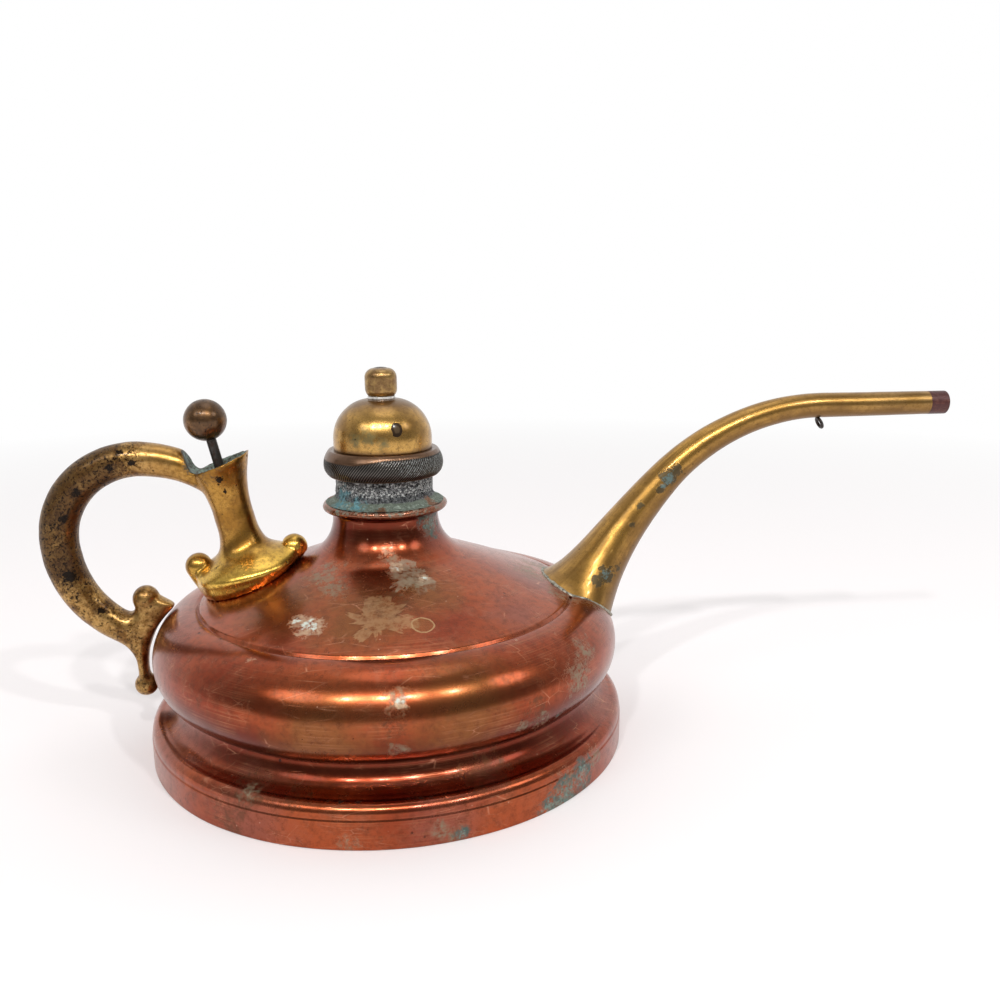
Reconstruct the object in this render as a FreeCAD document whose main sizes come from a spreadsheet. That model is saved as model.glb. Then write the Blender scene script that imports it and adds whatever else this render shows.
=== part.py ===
import FreeCAD, Part
import math
import os
import Sketcher

# Lamp filler: a squat spun copper can on a stepped foot, with a screw cap on its neck, a long cast
# brass spout and a cast brass handle. The handle's post holds a sprung thumb valve that lets air in.
# Millimetres. The origin is the middle of the foot ring on the table, +Z up, +X towards the spout.

document = FreeCAD.newDocument("lamp_filler")
sheet = document.addObject("Spreadsheet::Sheet", "Sizes")

sizes = {
    # spun copper can
    "shell_wall": 1.0,
    "waist_radius": 52.0,
    "waist_height": 16.0,
    "belly_overhang": 6.4,
    "belly_rise": 9.0,
    "belly_tuck": 4.9,
    "lap_depth": 3.5,
    "groove_inset": 11.4,
    "groove_height": 36.8,
    "groove_depth": 0.5,
    "groove_half": 0.55,
    "shoulder_slope": 21.0,
    "neck_radius": 13.2,
    "flare_radius": 10.7,
    "neck_straight": 0.3,
    "flange_radius": 15.6,
    "flange_flare": 2.2,
    "lip_radius": 1.0,
    # spun copper foot
    "base_overhang": 8.0,
    "cove_width": 4.4,
    "cove_drop": 5.7,
    "bead_radius": 2.6,
    "bead_inset": 0.2,
    "bead_height": 7.4,
    "band_height": 6.5,
    "hem_width": 2.4,
    "plate_wall": 1.0,
    # filler neck and screw cap
    "thread_radius": 12.0,
    "collar_wall": 1.6,
    "collar_spigot": 5.0,
    "collar_foot_radius": 14.8,
    "collar_foot_rise": 2.9,
    "thread_length": 7.8,
    "ring_clear": 3.7,
    "ring_radius": 14.9,
    "ring_height": 6.5,
    "ring_mouth_radius": 13.5,
    "ring_web": 0.8,
    "gasket_wall": 1.5,
    "dome_radius": 12.2,
    "dome_straight": 2.7,
    "dome_arc": 9.7,
    "dome_wall": 0.8,
    "finial_radius": 3.95,
    "finial_height": 7.1,
    "finial_seat_radius": 3.1,
    "finial_widest": 1.7,
    "finial_straight": 2.9,
    "finial_crown_radius": 1.9,
    "finial_crown_drop": 0.3,
    "finial_washer_radius": 3.4,
    "finial_washer_wall": 0.6,
    "stem_radius": 1.5,
    "stem_length": 4.6,
    "finial_nut_radius": 3.2,
    "finial_nut_height": 2.0,
    # cast spout
    "spout_reach": 90.2,
    "spout_height": 82.1,
    "spout_bend_radius": 57.6,
    "spout_bend": 47.0,
    "spout_sweep_radius": 146.0,
    "spout_sweep": 13.0,
    "spout_foot_radius": 48.0,
    "spout_foot_depth": 7.3,
    "spout_tip_radius": 3.0,
    "spout_flare": 7.4,
    "spout_taper": 24.0,
    "spout_root_spread": 4.6,
    "spout_toe": 4.4,
    "spout_toe_length": 4.0,
    "spout_wall": 0.9,
    "shell_port_radius": 6.5,
    "ferrule_radius": 3.05,
    "ferrule_length": 5.0,
    "ferrule_spigot": 4.0,
    "ferrule_wall": 0.45,
    "eyelet_back": 35.0,
    "eyelet_radius": 1.35,
    "eyelet_wire": 0.4,
    "eyelet_lean": 25.0,
    # cast handle
    "post_inset": 24.6,
    "post_tilt": 12.5,
    "post_radius": 4.7,
    "post_waist": 13.0,
    "post_neck": 17.0,
    "foot_radius": 12.6,
    "foot_rim": 3.65,
    "mouth_radius": 9.4,
    "mouth_height": 30.2,
    "mouth_slant": 9.0,
    "cup_radius": 7.2,
    "cup_depth": 3.6,
    "ear_radius": 2.9,
    "ear_reach": 12.0,
    "ear_rise": 5.3,
    "ear_skew": 0.6,
    "ear_lean": 2.0,
    "loop_offset": 1.3,
    "loop_rise": 28.3,
    "loop_radius": 19.7,
    "loop_crown_radius": 30.0,
    "loop_crown_sweep": 36.0,
    "loop_tail_radius": 26.5,
    "loop_tail_sweep": 68.0,
    "loop_tube_radius": 4.5,
    "loop_end_radius": 3.7,
    "heel_half": 2.9,
    "heel_knob_radius": 2.6,
    "heel_gap": 0.9,
    "knob_radius": 3.0,
    # thumb valve
    "rod_radius": 1.2,
    "ball_radius": 5.1,
    "press_travel": 4.0,
    "press_spare": 1.6,
    "bush_radius": 2.4,
    "bush_length": 6.0,
    "bush_flange_radius": 3.2,
    "bush_flange_wall": 0.8,
    "bush_height": 26.0,
    "air_holes": 4,
    "air_hole_radius": 0.3,
    "air_hole_circle": 1.85,
    "chamber_radius": 3.1,
    "chamber_height": 20.0,
    "seat_radius": 4.2,
    "seat_bore": 2.2,
    "seat_depth": 7.0,
    "seat_head": 1.5,
    "stop_height": 13.4,
    "stop_radius": 2.7,
    "stop_half": 0.9,
    "pin_radius": 0.4,
    "spring_wall": 0.7,
    "rod_shoulder_radius": 1.7,
    "rod_shoulder_wall": 1.5,
    "leather_radius": 3.8,
    "leather_wall": 1.0,
    "disc_radius": 4.0,
    "disc_wall": 1.6,
    "valve_nut_radius": 2.9,
    "valve_nut_height": 2.0,
    "rod_tail": 0.7,
    # clearances
    "solder_gap": 0.05,
    "running_gap": 0.06,
    "contact_gap": 0.03,
}

derived = {
    "base_radius": "=waist_radius + base_overhang",
    "belly_radius": "=waist_radius + belly_overhang",
    "belly_height": "=waist_height + belly_rise",
    "groove_radius": "=belly_radius - groove_inset",
    "flare_end": "=neck_radius + flare_radius * (1 - sin(shoulder_slope * 1 deg))",
    "flare_end_height": "=groove_height + groove_depth"
                        " + (groove_radius - groove_half - flare_end) * tan(shoulder_slope * 1 deg)",
    "flare_height": "=flare_end_height + flare_radius * cos(shoulder_slope * 1 deg)",
    "flange_height": "=flare_height + neck_straight + flange_flare",
    "post_foot_radius": "=belly_radius - post_inset",
    "post_foot_height": "=flare_end_height"
                        " - (post_foot_radius - flare_end) * tan(shoulder_slope * 1 deg)",
    "ball_height": "=mouth_height + press_travel + press_spare + ball_radius",
}

for row, (alias, value) in enumerate({**sizes, **derived}.items(), start=1):
    sheet.set("A%d" % row, alias.replace("_", " "))
    sheet.set("B%d" % row, str(value))
    sheet.setAlias("B%d" % row, alias)
document.recompute()
size = {alias: float(sheet.get(alias)) for alias in {**sizes, **derived}}


def number(text):
    """The value of a sum of sheet names, such as 'neck_radius - shell_wall'."""
    total, sign = 0.0, 1.0
    for word in text.split():
        if word in "+-":
            sign = 1.0 if word == "+" else -1.0
        else:
            total += sign * (size[word] if word in size else float(word))
    return total


def bound(text):
    """The same sum as an expression on the sheet's cells."""
    return " ".join("Sizes." + word if word in size else word for word in text.split())


def arc_centre(start, end, kind):
    """Middle of the arc whose end named in kind is level with it, or plumb over or under it."""
    level = kind.startswith("level")
    anchor, other = (start, end) if kind.endswith("start") else (end, start)
    along, across = (0, 1) if level else (1, 0)
    run = other[along] - anchor[along]
    rise = other[across] - anchor[across]
    reach = (run * run + rise * rise) / (2.0 * run)
    centre = list(anchor)
    centre[along] += reach
    return centre


def outline_sketch(body, corners):
    """A closed outline on the body's XZ plane, each corner bound to the sheet.

    A corner is (radius, height) at the end of a straight line, or has a third item that
    makes the line to it an arc whose middle is level or plumb with its start or its end."""
    sketch = body.newObject("Sketcher::SketchObject", body.Label + "_outline")
    plane = [item for item in body.Origin.OriginFeatures if item.Role == "XZ_Plane"][0]
    sketch.AttachmentSupport = [(plane, "")]
    sketch.MapMode = "FlatFace"
    points = [(number(corner[0]), number(corner[1])) for corner in corners]
    ends = []
    for index, corner in enumerate(corners):
        start, end = points[index - 1], points[index]
        if len(corner) == 2:
            line = Part.LineSegment(FreeCAD.Vector(*start, 0), FreeCAD.Vector(*end, 0))
            ends.append((sketch.addGeometry(line), 1, 2))
            continue
        centre = arc_centre(start, end, corner[2])
        radius = math.dist(centre, start)
        angle_start = math.atan2(start[1] - centre[1], start[0] - centre[0])
        angle_end = math.atan2(end[1] - centre[1], end[0] - centre[0])
        turn = (angle_end - angle_start) % (2.0 * math.pi)
        circle = Part.Circle(FreeCAD.Vector(*centre, 0), FreeCAD.Vector(0, 0, 1), radius)
        if turn < math.pi:
            ends.append((sketch.addGeometry(Part.ArcOfCircle(circle, angle_start, angle_start + turn)), 1, 2))
        else:
            back = 2.0 * math.pi - turn
            ends.append((sketch.addGeometry(Part.ArcOfCircle(circle, angle_end, angle_end + back)), 2, 1))
    for index, corner in enumerate(corners):
        piece, first, last = ends[index]
        following, next_first, _ = ends[(index + 1) % len(corners)]
        sketch.addConstraint(Sketcher.Constraint("Coincident", piece, last, following, next_first))
        for kind, axis, text in (("DistanceX", -2, corner[0]), ("DistanceY", -1, corner[1])):
            if number(text) == 0.0:
                sketch.addConstraint(Sketcher.Constraint("PointOnObject", piece, last, axis))
                continue
            rule = sketch.addConstraint(Sketcher.Constraint(kind, -1, 1, piece, last, number(text)))
            sketch.setExpression("Constraints[%d]" % rule, bound(text))
        if len(corner) == 3:
            rule = "Horizontal" if corner[2].startswith("level") else "Vertical"
            anchor = first if corner[2].endswith("start") else last
            sketch.addConstraint(Sketcher.Constraint(rule, piece, 3, piece, anchor))
    return sketch


def stand(item, height):
    """Sets a piece upright on the can's axis at a height given as a sum."""
    item.setExpression("Placement.Base.z", bound(height))


def lean(item, height):
    """Sets a piece on the handle post's leaning axis, at a distance up it from the shoulder."""
    tilt = "Sizes.post_tilt * 1 deg"
    rise = "(" + bound(height) + ")"
    item.setExpression("Placement.Base.x", "-Sizes.post_foot_radius - %s * sin(%s)" % (rise, tilt))
    item.setExpression("Placement.Base.z", "Sizes.post_foot_height + %s * cos(%s)" % (rise, tilt))
    item.setExpression("Placement.Rotation.Axis.x", "0")
    item.setExpression("Placement.Rotation.Axis.y", "1")
    item.setExpression("Placement.Rotation.Axis.z", "0")
    item.setExpression("Placement.Rotation.Angle", "-" + tilt)


def turned(label, corners, place=stand, height="0"):
    """A lathe-turned or spun piece: its outline carried once round its own axis."""
    body = document.addObject("PartDesign::Body", label)
    body.Label = label
    sketch = outline_sketch(body, corners)
    spin = body.newObject("PartDesign::Revolution", label + "_spin")
    spin.Profile = sketch
    spin.ReferenceAxis = (sketch, ["V_Axis"])
    spin.Angle = 360.0
    sketch.Visibility = False
    place(body, height)
    return body


def cylinder(label, radius, length):
    """A plain round bar or drill of bound size, standing on its own origin."""
    bar = document.addObject("Part::Cylinder", label)
    bar.setExpression("Radius", bound(radius))
    bar.setExpression("Height", bound(length))
    return bar


def cut(label, base, *tools):
    """The base with each tool taken away, under the finished piece's name."""
    for index, tool in enumerate(tools):
        piece = document.addObject("Part::Cut", label if index == len(tools) - 1 else label + "_cut")
        piece.Base, piece.Tool = base, tool
        base = piece
    piece.Label = label
    return piece


def shape_piece(label, shape):
    """A piece whose form is worked out below by formula, such as a casting."""
    piece = document.addObject("Part::Feature", label)
    piece.Label = label
    piece.Shape = shape
    return piece


def axis_point(height, aside=0.0, across=0.0):
    """A point in the post's own axes: up it, aside in the handle's plane, and across it."""
    tilt = math.radians(size["post_tilt"])
    x = -size["post_foot_radius"] - height * math.sin(tilt) + aside * math.cos(tilt)
    z = size["post_foot_height"] + height * math.cos(tilt) + aside * math.sin(tilt)
    return FreeCAD.Vector(x, across, z)


def level_arc(start, end, kind):
    """An arc in the XZ plane whose middle is level with its start or with its end."""
    middle = arc_centre((start.x, start.z), (end.x, end.z), kind)
    centre = FreeCAD.Vector(middle[0], 0, middle[1])
    half = ((start - centre) + (end - centre)).normalize() * (start - centre).Length
    return Part.Arc(start, centre + half, end).toShape()


def spun_envelope(gap):
    """The can's outside as one solid, grown by a gap: what seats on it is cut to this."""
    wide = FreeCAD.Vector(size["belly_radius"] + gap, 0, size["belly_height"])
    brim = FreeCAD.Vector(size["groove_radius"] + size["groove_half"], 0, size["groove_height"] + gap)
    tuck = FreeCAD.Vector(size["belly_radius"] - size["belly_tuck"], 0, size["waist_height"] - gap)
    shoulder_radius = size["groove_radius"] - size["groove_half"]
    shoulder = FreeCAD.Vector(shoulder_radius, 0, size["groove_height"] + size["groove_depth"] + gap)
    flare = FreeCAD.Vector(size["flare_end"], 0, size["flare_end_height"] + gap)
    neck = FreeCAD.Vector(size["neck_radius"] + gap, 0, size["flare_height"])
    corners = [neck, FreeCAD.Vector(0, 0, neck.z), FreeCAD.Vector(0, 0, tuck.z), tuck]
    edges = [Part.makeLine(corners[index], corners[index + 1]) for index in range(3)]
    edges.append(level_arc(tuck, wide, "level_end"))
    edges.append(level_arc(wide, brim, "level_start"))
    edges.append(Part.makeLine(brim, shoulder))
    edges.append(Part.makeLine(shoulder, flare))
    edges.append(level_arc(flare, neck, "level_end"))
    face = Part.Face(Part.Wire(edges))
    return face.revolve(FreeCAD.Vector(0, 0, 0), FreeCAD.Vector(0, 0, 1), 360)


def walk(start, heading, runs, distance):
    """Where a path of straight and round runs is after a distance, and which way it heads.

    A run is (length, radius); a radius of 0 is straight, a positive one turns to the left."""
    x, z, angle = start[0], start[1], math.radians(heading)
    for length, radius in runs:
        step = min(distance, length)
        if radius == 0.0:
            x += step * math.cos(angle)
            z += step * math.sin(angle)
        else:
            turned_by = step / radius
            x += radius * (math.sin(angle + turned_by) - math.sin(angle))
            z -= radius * (math.cos(angle + turned_by) - math.cos(angle))
            angle += turned_by
        distance -= step
        if distance <= 0.0:
            break
    return x, z, angle


def ring(x, z, angle, half_height, half_width):
    """An oval section square to a path in the XZ plane, wider across than high by a hair or more."""
    hair = 0.001
    middle = FreeCAD.Vector(x, 0, z)
    across = FreeCAD.Vector(0, half_width + hair, 0)
    upright = FreeCAD.Vector(-math.sin(angle), 0, math.cos(angle)) * half_height
    oval = Part.Ellipse(middle + across, middle + upright, middle)
    return Part.Wire(oval.toShape())


def spout_path():
    """Start and runs of the spout's path: level from the tip, two bends, and straight to its foot.

    The foot lies at a radius and a depth under the shoulder's slope. With the two bends given, its
    height gives the length of the last run, and its radius that of the level one."""
    slope = math.tan(math.radians(size["shoulder_slope"]))
    foot_z = (size["flare_end_height"] - (size["spout_foot_radius"] - size["flare_end"]) * slope
              - size["spout_foot_depth"])
    bends = [(size["spout_bend_radius"] * math.radians(size["spout_bend"]), size["spout_bend_radius"]),
             (size["spout_sweep_radius"] * math.radians(size["spout_sweep"]), size["spout_sweep_radius"])]
    cast_end = size["belly_radius"] + size["spout_reach"] - size["ferrule_length"]
    x, z, angle = walk((cast_end, size["spout_height"]), 180.0, bends, bends[0][0] + bends[1][0])
    last = (foot_z - z) / math.sin(angle)
    level = x + last * math.cos(angle) - size["spout_foot_radius"]
    return (cast_end, size["spout_height"]), [(level, 0.0)] + bends + [(last, 0.0)]


def spout_station(along):
    """Place, heading and outer radius of the spout at a share of its length from its cast end.

    The radius grows from the slim tip to the trumpet root as an exponential of the distance. A
    second, shorter one pushes the root's upper side out into a toe along the shoulder."""
    start, runs = spout_path()
    length = sum(run[0] for run in runs)
    x, z, angle = walk(start, 180.0, runs, along * length)
    flare = math.exp((along - 1.0) * length / size["spout_taper"])
    toe = size["spout_toe"] * math.exp((along - 1.0) * length / size["spout_toe_length"])
    radius = size["spout_tip_radius"] + size["spout_flare"] * flare + toe
    x -= toe * -math.sin(angle)
    z -= toe * math.cos(angle)
    spread = size["spout_root_spread"] * flare * flare
    return x, z, angle, radius, spread, length


def make_spout():
    """Cast spout: a trumpet root on the shoulder, drawn out into a slim tube that bends level.

    Its sections stand closer together towards the root, where the form changes fastest."""
    stations = 15

    def tube(inset):
        sections = []
        for index in range(stations):
            along = math.sin(0.5 * math.pi * index / (stations - 1))
            x, z, angle, radius, spread, _ = spout_station(along)
            sections.append(ring(x, z, angle, radius - inset, radius + spread - inset))
        return Part.makeLoft(sections, True)

    outside = tube(0.0)
    foot, up = eyelet_axis(-size["spout_tip_radius"])
    shank_hole = Part.makeCylinder(size["eyelet_wire"] + size["solder_gap"],
                                   size["spout_tip_radius"] * 2, foot, up)
    casting = outside.cut(tube(size["spout_wall"])).cut(spun_envelope(size["solder_gap"]))
    return casting.cut(shank_hole)


def eyelet_axis(distance):
    """A point on the leaning eyelet's shank, at a distance from the spout's underside, and its axis."""
    length = spout_station(0.0)[5]
    share = (size["eyelet_back"] - size["ferrule_length"]) / length
    x, z, _, radius, _, _ = spout_station(share)
    lean_angle = math.radians(size["eyelet_lean"])
    up = FreeCAD.Vector(-math.sin(lean_angle), 0, math.cos(lean_angle))
    return FreeCAD.Vector(x, 0, z - radius) + up * distance, up


def make_post():
    """The handle's hollow post: a trumpet foot, a waist and a flared mouth cut on a slant."""
    foot, rim = size["foot_radius"], size["foot_rim"]
    waist = FreeCAD.Vector(size["post_radius"], 0, size["post_waist"])
    neck = FreeCAD.Vector(size["post_radius"], 0, size["post_neck"])
    top = size["mouth_height"] + size["cup_depth"]
    lip = FreeCAD.Vector(size["mouth_radius"], 0, top)
    below = -2.0 * size["seat_head"] - size["foot_rim"]
    rim_point = FreeCAD.Vector(foot, 0, rim)
    edges = [Part.makeLine(FreeCAD.Vector(0, 0, below), FreeCAD.Vector(foot, 0, below)),
             Part.makeLine(FreeCAD.Vector(foot, 0, below), rim_point),
             level_arc(rim_point, waist, "level_end"), Part.makeLine(waist, neck),
             level_arc(neck, lip, "level_start"), Part.makeLine(lip, FreeCAD.Vector(0, 0, top)),
             Part.makeLine(FreeCAD.Vector(0, 0, top), FreeCAD.Vector(0, 0, below))]
    post = Part.Face(Part.Wire(edges)).revolve(FreeCAD.Vector(0, 0, 0), FreeCAD.Vector(0, 0, 1), 360)
    block = Part.makeBox(4 * foot, 4 * foot, 4 * foot, FreeCAD.Vector(-2 * foot, -2 * foot, 0))
    block.rotate(FreeCAD.Vector(0, 0, 0), FreeCAD.Vector(0, 1, 0), -size["mouth_slant"])
    block.translate(FreeCAD.Vector(0, 0, size["mouth_height"]))
    post = post.cut(block)
    post.rotate(FreeCAD.Vector(0, 0, 0), FreeCAD.Vector(0, 1, 0), -size["post_tilt"])
    post.translate(axis_point(0.0))
    return post


def make_loop():
    """The round finger loop: a tapering bar from the post's mouth, over and down to the heel."""
    crown = size["loop_crown_radius"] * math.radians(size["loop_crown_sweep"])
    side = size["loop_radius"] * math.radians(90.0)
    tail = size["loop_tail_radius"] * math.radians(size["loop_tail_sweep"])
    runs = [(crown, size["loop_crown_radius"]), (side, size["loop_radius"]),
            (tail, size["loop_tail_radius"])]
    top_x = -size["belly_radius"] - size["loop_offset"]
    top_z = size["belly_height"] + size["loop_rise"] + size["loop_radius"]
    sweep = math.radians(size["loop_crown_sweep"])
    start = (top_x + size["loop_crown_radius"] * math.sin(sweep),
             top_z - size["loop_crown_radius"] * (1.0 - math.cos(sweep)))
    length = crown + side + tail
    stations = 15
    sections = []
    for index in range(stations):
        share = index / (stations - 1)
        x, z, angle = walk(start, 180.0 - size["loop_crown_sweep"], runs, length * share)
        swell = math.sin(math.pi * share)
        radius = size["loop_end_radius"] + (size["loop_tube_radius"] - size["loop_end_radius"]) * swell
        sections.append(ring(x, z, angle, radius, radius))
    return Part.makeLoft(sections, True)


def make_heel():
    """The handle's lower foot: a flat fan between two knobs, curved to follow the belly."""
    x = -size["belly_radius"]
    z = size["belly_height"]

    def at(out, up):
        return FreeCAD.Vector(x - out, 0, z + up)

    hollow = [(-5.2, 10.6), (size["heel_gap"], 3.0), (2.9, -8.8)]
    back = [(4.6, -8.8), (5.0, -2.6), (7.6, 2.0), (9.6, 3.6), (6.2, 8.0), (1.8, 11.6), (-1.2, 13.0)]
    upper_knob, lower_knob = (1.8, 12.2), (3.6, -10.3)
    inner = [at(*point) for point in hollow]
    edges = [Part.Arc(*inner).toShape()]
    outer = [inner[-1]] + [at(*point) for point in back] + [inner[0]]
    edges += [Part.makeLine(outer[index], outer[index + 1]) for index in range(len(outer) - 1)]
    face = Part.Face(Part.Wire(edges))
    face.translate(FreeCAD.Vector(0, -size["heel_half"], 0))
    fan = face.extrude(FreeCAD.Vector(0, 2 * size["heel_half"], 0))
    knobs = [Part.makeSphere(size["knob_radius"], at(*upper_knob)),
             Part.makeSphere(size["heel_knob_radius"], at(*lower_knob))]
    return fan.fuse(knobs)


def make_handle():
    """The one-piece cast handle, bored for the thumb valve and fitted to the can's shoulder."""
    ears = []
    for side in (-1, 1):
        root = axis_point(0.0, side * (size["ear_reach"] - size["ear_lean"]))
        crest = axis_point(size["ear_rise"] - side * size["ear_skew"], side * size["ear_reach"])
        ears.append(Part.makeCylinder(size["ear_radius"], (crest - root).Length, root, crest - root))
        ears.append(Part.makeSphere(size["ear_radius"], crest))
    casting = make_post().fuse([make_loop(), make_heel()] + ears)
    up = axis_point(1.0) - axis_point(0.0)
    cup_floor = size["bush_height"] + size["solder_gap"]
    cup_top = size["mouth_height"]
    cup = Part.makeCone(size["bush_flange_radius"] + size["solder_gap"], size["cup_radius"],
                        cup_top - cup_floor, axis_point(cup_floor), up)
    clear = Part.makeCylinder(size["cup_radius"], size["foot_radius"], axis_point(cup_top), up)
    guide = Part.makeCylinder(size["bush_radius"] + size["solder_gap"], 2 * size["bush_length"],
                              axis_point(cup_floor - 1.5 * size["bush_length"]), up)
    chamber = Part.makeCylinder(size["chamber_radius"], size["chamber_height"] + size["foot_rim"],
                                axis_point(-size["foot_rim"]), up)
    pocket = Part.makeCylinder(size["seat_radius"] + size["solder_gap"],
                               2 * size["seat_head"] + size["foot_rim"], axis_point(-size["foot_rim"]), up)
    seat = spun_envelope(size["solder_gap"])
    casting = casting.cut([cup, clear, guide, chamber, pocket]).cut(seat)
    return max(casting.Solids, key=lambda solid: solid.Volume)


nodes = []

# The can: neck, shoulder, groove and belly are spun from one sheet, which turns under at the waist
# and laps inside the foot.
can = turned("body_blank", [
    ("waist_radius - shell_wall - solder_gap - shell_wall", "waist_height - lap_depth"),
    ("waist_radius - shell_wall - solder_gap", "waist_height - lap_depth"),
    ("waist_radius - shell_wall - solder_gap", "waist_height + solder_gap"),
    ("belly_radius - belly_tuck", "waist_height + solder_gap"),
    ("belly_radius", "belly_height", "level_end"),
    ("groove_radius + groove_half", "groove_height", "level_start"),
    ("groove_radius", "groove_height - groove_depth"),
    ("groove_radius - groove_half", "groove_height + groove_depth"),
    ("flare_end", "flare_end_height"),
    ("neck_radius", "flare_height", "level_end"),
    ("neck_radius", "flange_height - flange_flare"),
    ("flange_radius - lip_radius", "flange_height + shell_wall - lip_radius - lip_radius", "level_start"),
    ("flange_radius", "flange_height + shell_wall - lip_radius", "level_end"),
    ("flange_radius - lip_radius", "flange_height + shell_wall", "level_start"),
    ("neck_radius - shell_wall", "flange_height - flange_flare", "level_end"),
    ("neck_radius - shell_wall", "flare_height"),
    ("flare_end", "flare_end_height - shell_wall", "level_start"),
    ("groove_radius", "groove_height - groove_depth - shell_wall"),
    ("groove_radius + shell_wall", "groove_height - shell_wall"),
    ("belly_radius - shell_wall", "belly_height", "level_end"),
    ("belly_radius - belly_tuck", "waist_height + solder_gap + shell_wall", "level_start"),
    ("waist_radius - shell_wall - solder_gap - shell_wall", "waist_height + solder_gap + shell_wall"),
])
valve_port = cylinder("valve_port", "seat_radius + solder_gap", "seat_depth + seat_depth")
lean(valve_port, "0 - seat_depth")
root_x, root_z, root_angle, _, _, _ = spout_station(1.0)
root_up = FreeCAD.Vector(-math.cos(root_angle), 0, -math.sin(root_angle))
spout_port = cylinder("spout_port", "shell_port_radius", "belly_radius - spout_foot_radius + belly_rise")
spout_port.Placement = FreeCAD.Placement(FreeCAD.Vector(root_x, 0, root_z) - root_up,
                                         FreeCAD.Rotation(FreeCAD.Vector(0, 0, 1), root_up))
nodes.append(cut("body_shell", can, valve_port, spout_port))

# The foot: cove, bead and upright band, spun from a second sheet and hemmed inwards on the table.
nodes.append(turned("base_shell", [
    ("base_radius - hem_width", "0"),
    ("base_radius", "0"),
    ("base_radius", "band_height"),
    ("base_radius - bead_inset", "bead_height"),
    ("base_radius - bead_inset - bead_radius", "bead_height + bead_radius", "plumb_end"),
    ("waist_radius + cove_width", "waist_height - cove_drop"),
    ("waist_radius", "waist_height", "level_end"),
    ("waist_radius - shell_wall", "waist_height"),
    ("waist_radius + cove_width - shell_wall", "waist_height - cove_drop - shell_wall", "level_start"),
    ("base_radius - bead_inset - bead_radius", "bead_height + bead_radius - shell_wall"),
    ("base_radius - bead_inset - shell_wall", "bead_height", "plumb_start"),
    ("base_radius - bead_inset - shell_wall", "plate_wall"),
    ("base_radius - hem_width", "plate_wall"),
]))

# A flat copper disc closes the can. It lies on the foot's hem and is soldered round its edge.
nodes.append(turned("bottom_plate", [
    ("base_radius - bead_inset - shell_wall - solder_gap", "0"),
    ("base_radius - bead_inset - shell_wall - solder_gap", "plate_wall"),
    ("0", "plate_wall"),
    ("0", "0"),
], stand, "plate_wall"))

# The cast filler collar sits on the neck's flange, with a spigot down the neck and the screw on top.
collar_floor = "flange_height + shell_wall - collar_spigot"
collar_top = "collar_spigot + solder_gap + collar_foot_rise + thread_length"
nodes.append(turned("neck_collar", [
    ("thread_radius - collar_wall", "0"),
    ("neck_radius - shell_wall - solder_gap", "0"),
    ("neck_radius - shell_wall - solder_gap", "collar_spigot + solder_gap"),
    ("collar_foot_radius", "collar_spigot + solder_gap"),
    ("thread_radius", "collar_spigot + solder_gap + collar_foot_rise", "level_end"),
    ("thread_radius", collar_top),
    ("thread_radius - collar_wall", collar_top),
], stand, collar_floor))

# The cap's knurled ring runs on the collar's screw. A web across its top carries the dome.
ring_floor = "flange_height + shell_wall + solder_gap + collar_foot_rise + ring_clear"
nodes.append(turned("cap_ring", [
    ("thread_radius + running_gap", "0"),
    ("ring_mouth_radius", "0"),
    ("ring_radius", "ring_height - ring_clear", "level_end"),
    ("ring_mouth_radius", "ring_height", "level_start"),
    ("dome_radius - ring_clear", "ring_height"),
    ("dome_radius - ring_clear", "ring_height - ring_web"),
    ("thread_radius + running_gap", "ring_height - ring_web"),
], stand, ring_floor))

# A leather washer lies loose in the ring, between its web and the collar's rim.
nodes.append(turned("cap_gasket", [
    ("thread_radius - solder_gap", "0"),
    ("thread_radius - solder_gap", "gasket_wall"),
    ("0", "gasket_wall"),
    ("0", "0"),
], stand, ring_floor + " + ring_height - ring_web - contact_gap - gasket_wall"))

# The spun brass dome stands on the ring and is open below.
dome_floor = ring_floor + " + ring_height"
nodes.append(turned("cap_dome", [
    ("dome_radius - dome_wall", "0"),
    ("dome_radius", "0"),
    ("dome_radius", "dome_straight"),
    ("dome_radius - dome_arc", "dome_straight + dome_arc", "level_start"),
    ("stem_radius + solder_gap", "dome_straight + dome_arc"),
    ("stem_radius + solder_gap", "dome_straight + dome_arc - dome_wall"),
    ("dome_radius - dome_arc", "dome_straight + dome_arc - dome_wall"),
    ("dome_radius - dome_wall", "dome_straight", "level_end"),
], stand, dome_floor))

# A bright washer, then the turned finial, whose stem goes down through both to a nut inside.
crown = dome_floor + " + dome_straight + dome_arc"
nodes.append(turned("finial_washer", [
    ("stem_radius + solder_gap", "0"),
    ("finial_washer_radius", "0"),
    ("finial_washer_radius", "finial_washer_wall"),
    ("stem_radius + solder_gap", "finial_washer_wall"),
], stand, crown))
nodes.append(turned("finial", [
    ("stem_radius", "0"),
    ("stem_radius", "stem_length"),
    ("finial_seat_radius", "stem_length"),
    ("finial_radius", "stem_length + finial_widest", "level_end"),
    ("finial_radius", "stem_length + finial_widest + finial_straight"),
    ("finial_crown_radius", "stem_length + finial_height - finial_crown_drop", "level_start"),
    ("0", "stem_length + finial_height", "plumb_end"),
    ("0", "0"),
], stand, crown + " + finial_washer_wall - stem_length"))


def hexagon_nut(label, radius, height, bore, place, seat):
    """A six-sided nut with a plain bore."""
    prism = document.addObject("Part::Prism", label + "_prism")
    prism.Polygon = 6
    prism.setExpression("Circumradius", bound(radius))
    prism.setExpression("Height", bound(height))
    drill = cylinder(label + "_bore", bore, height)
    nut = cut(label, prism, drill)
    place(nut, seat)
    return nut


nodes.append(hexagon_nut("finial_nut", "finial_nut_radius", "finial_nut_height", "stem_radius + solder_gap",
                         stand, crown + " - dome_wall - finial_nut_height"))

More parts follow.
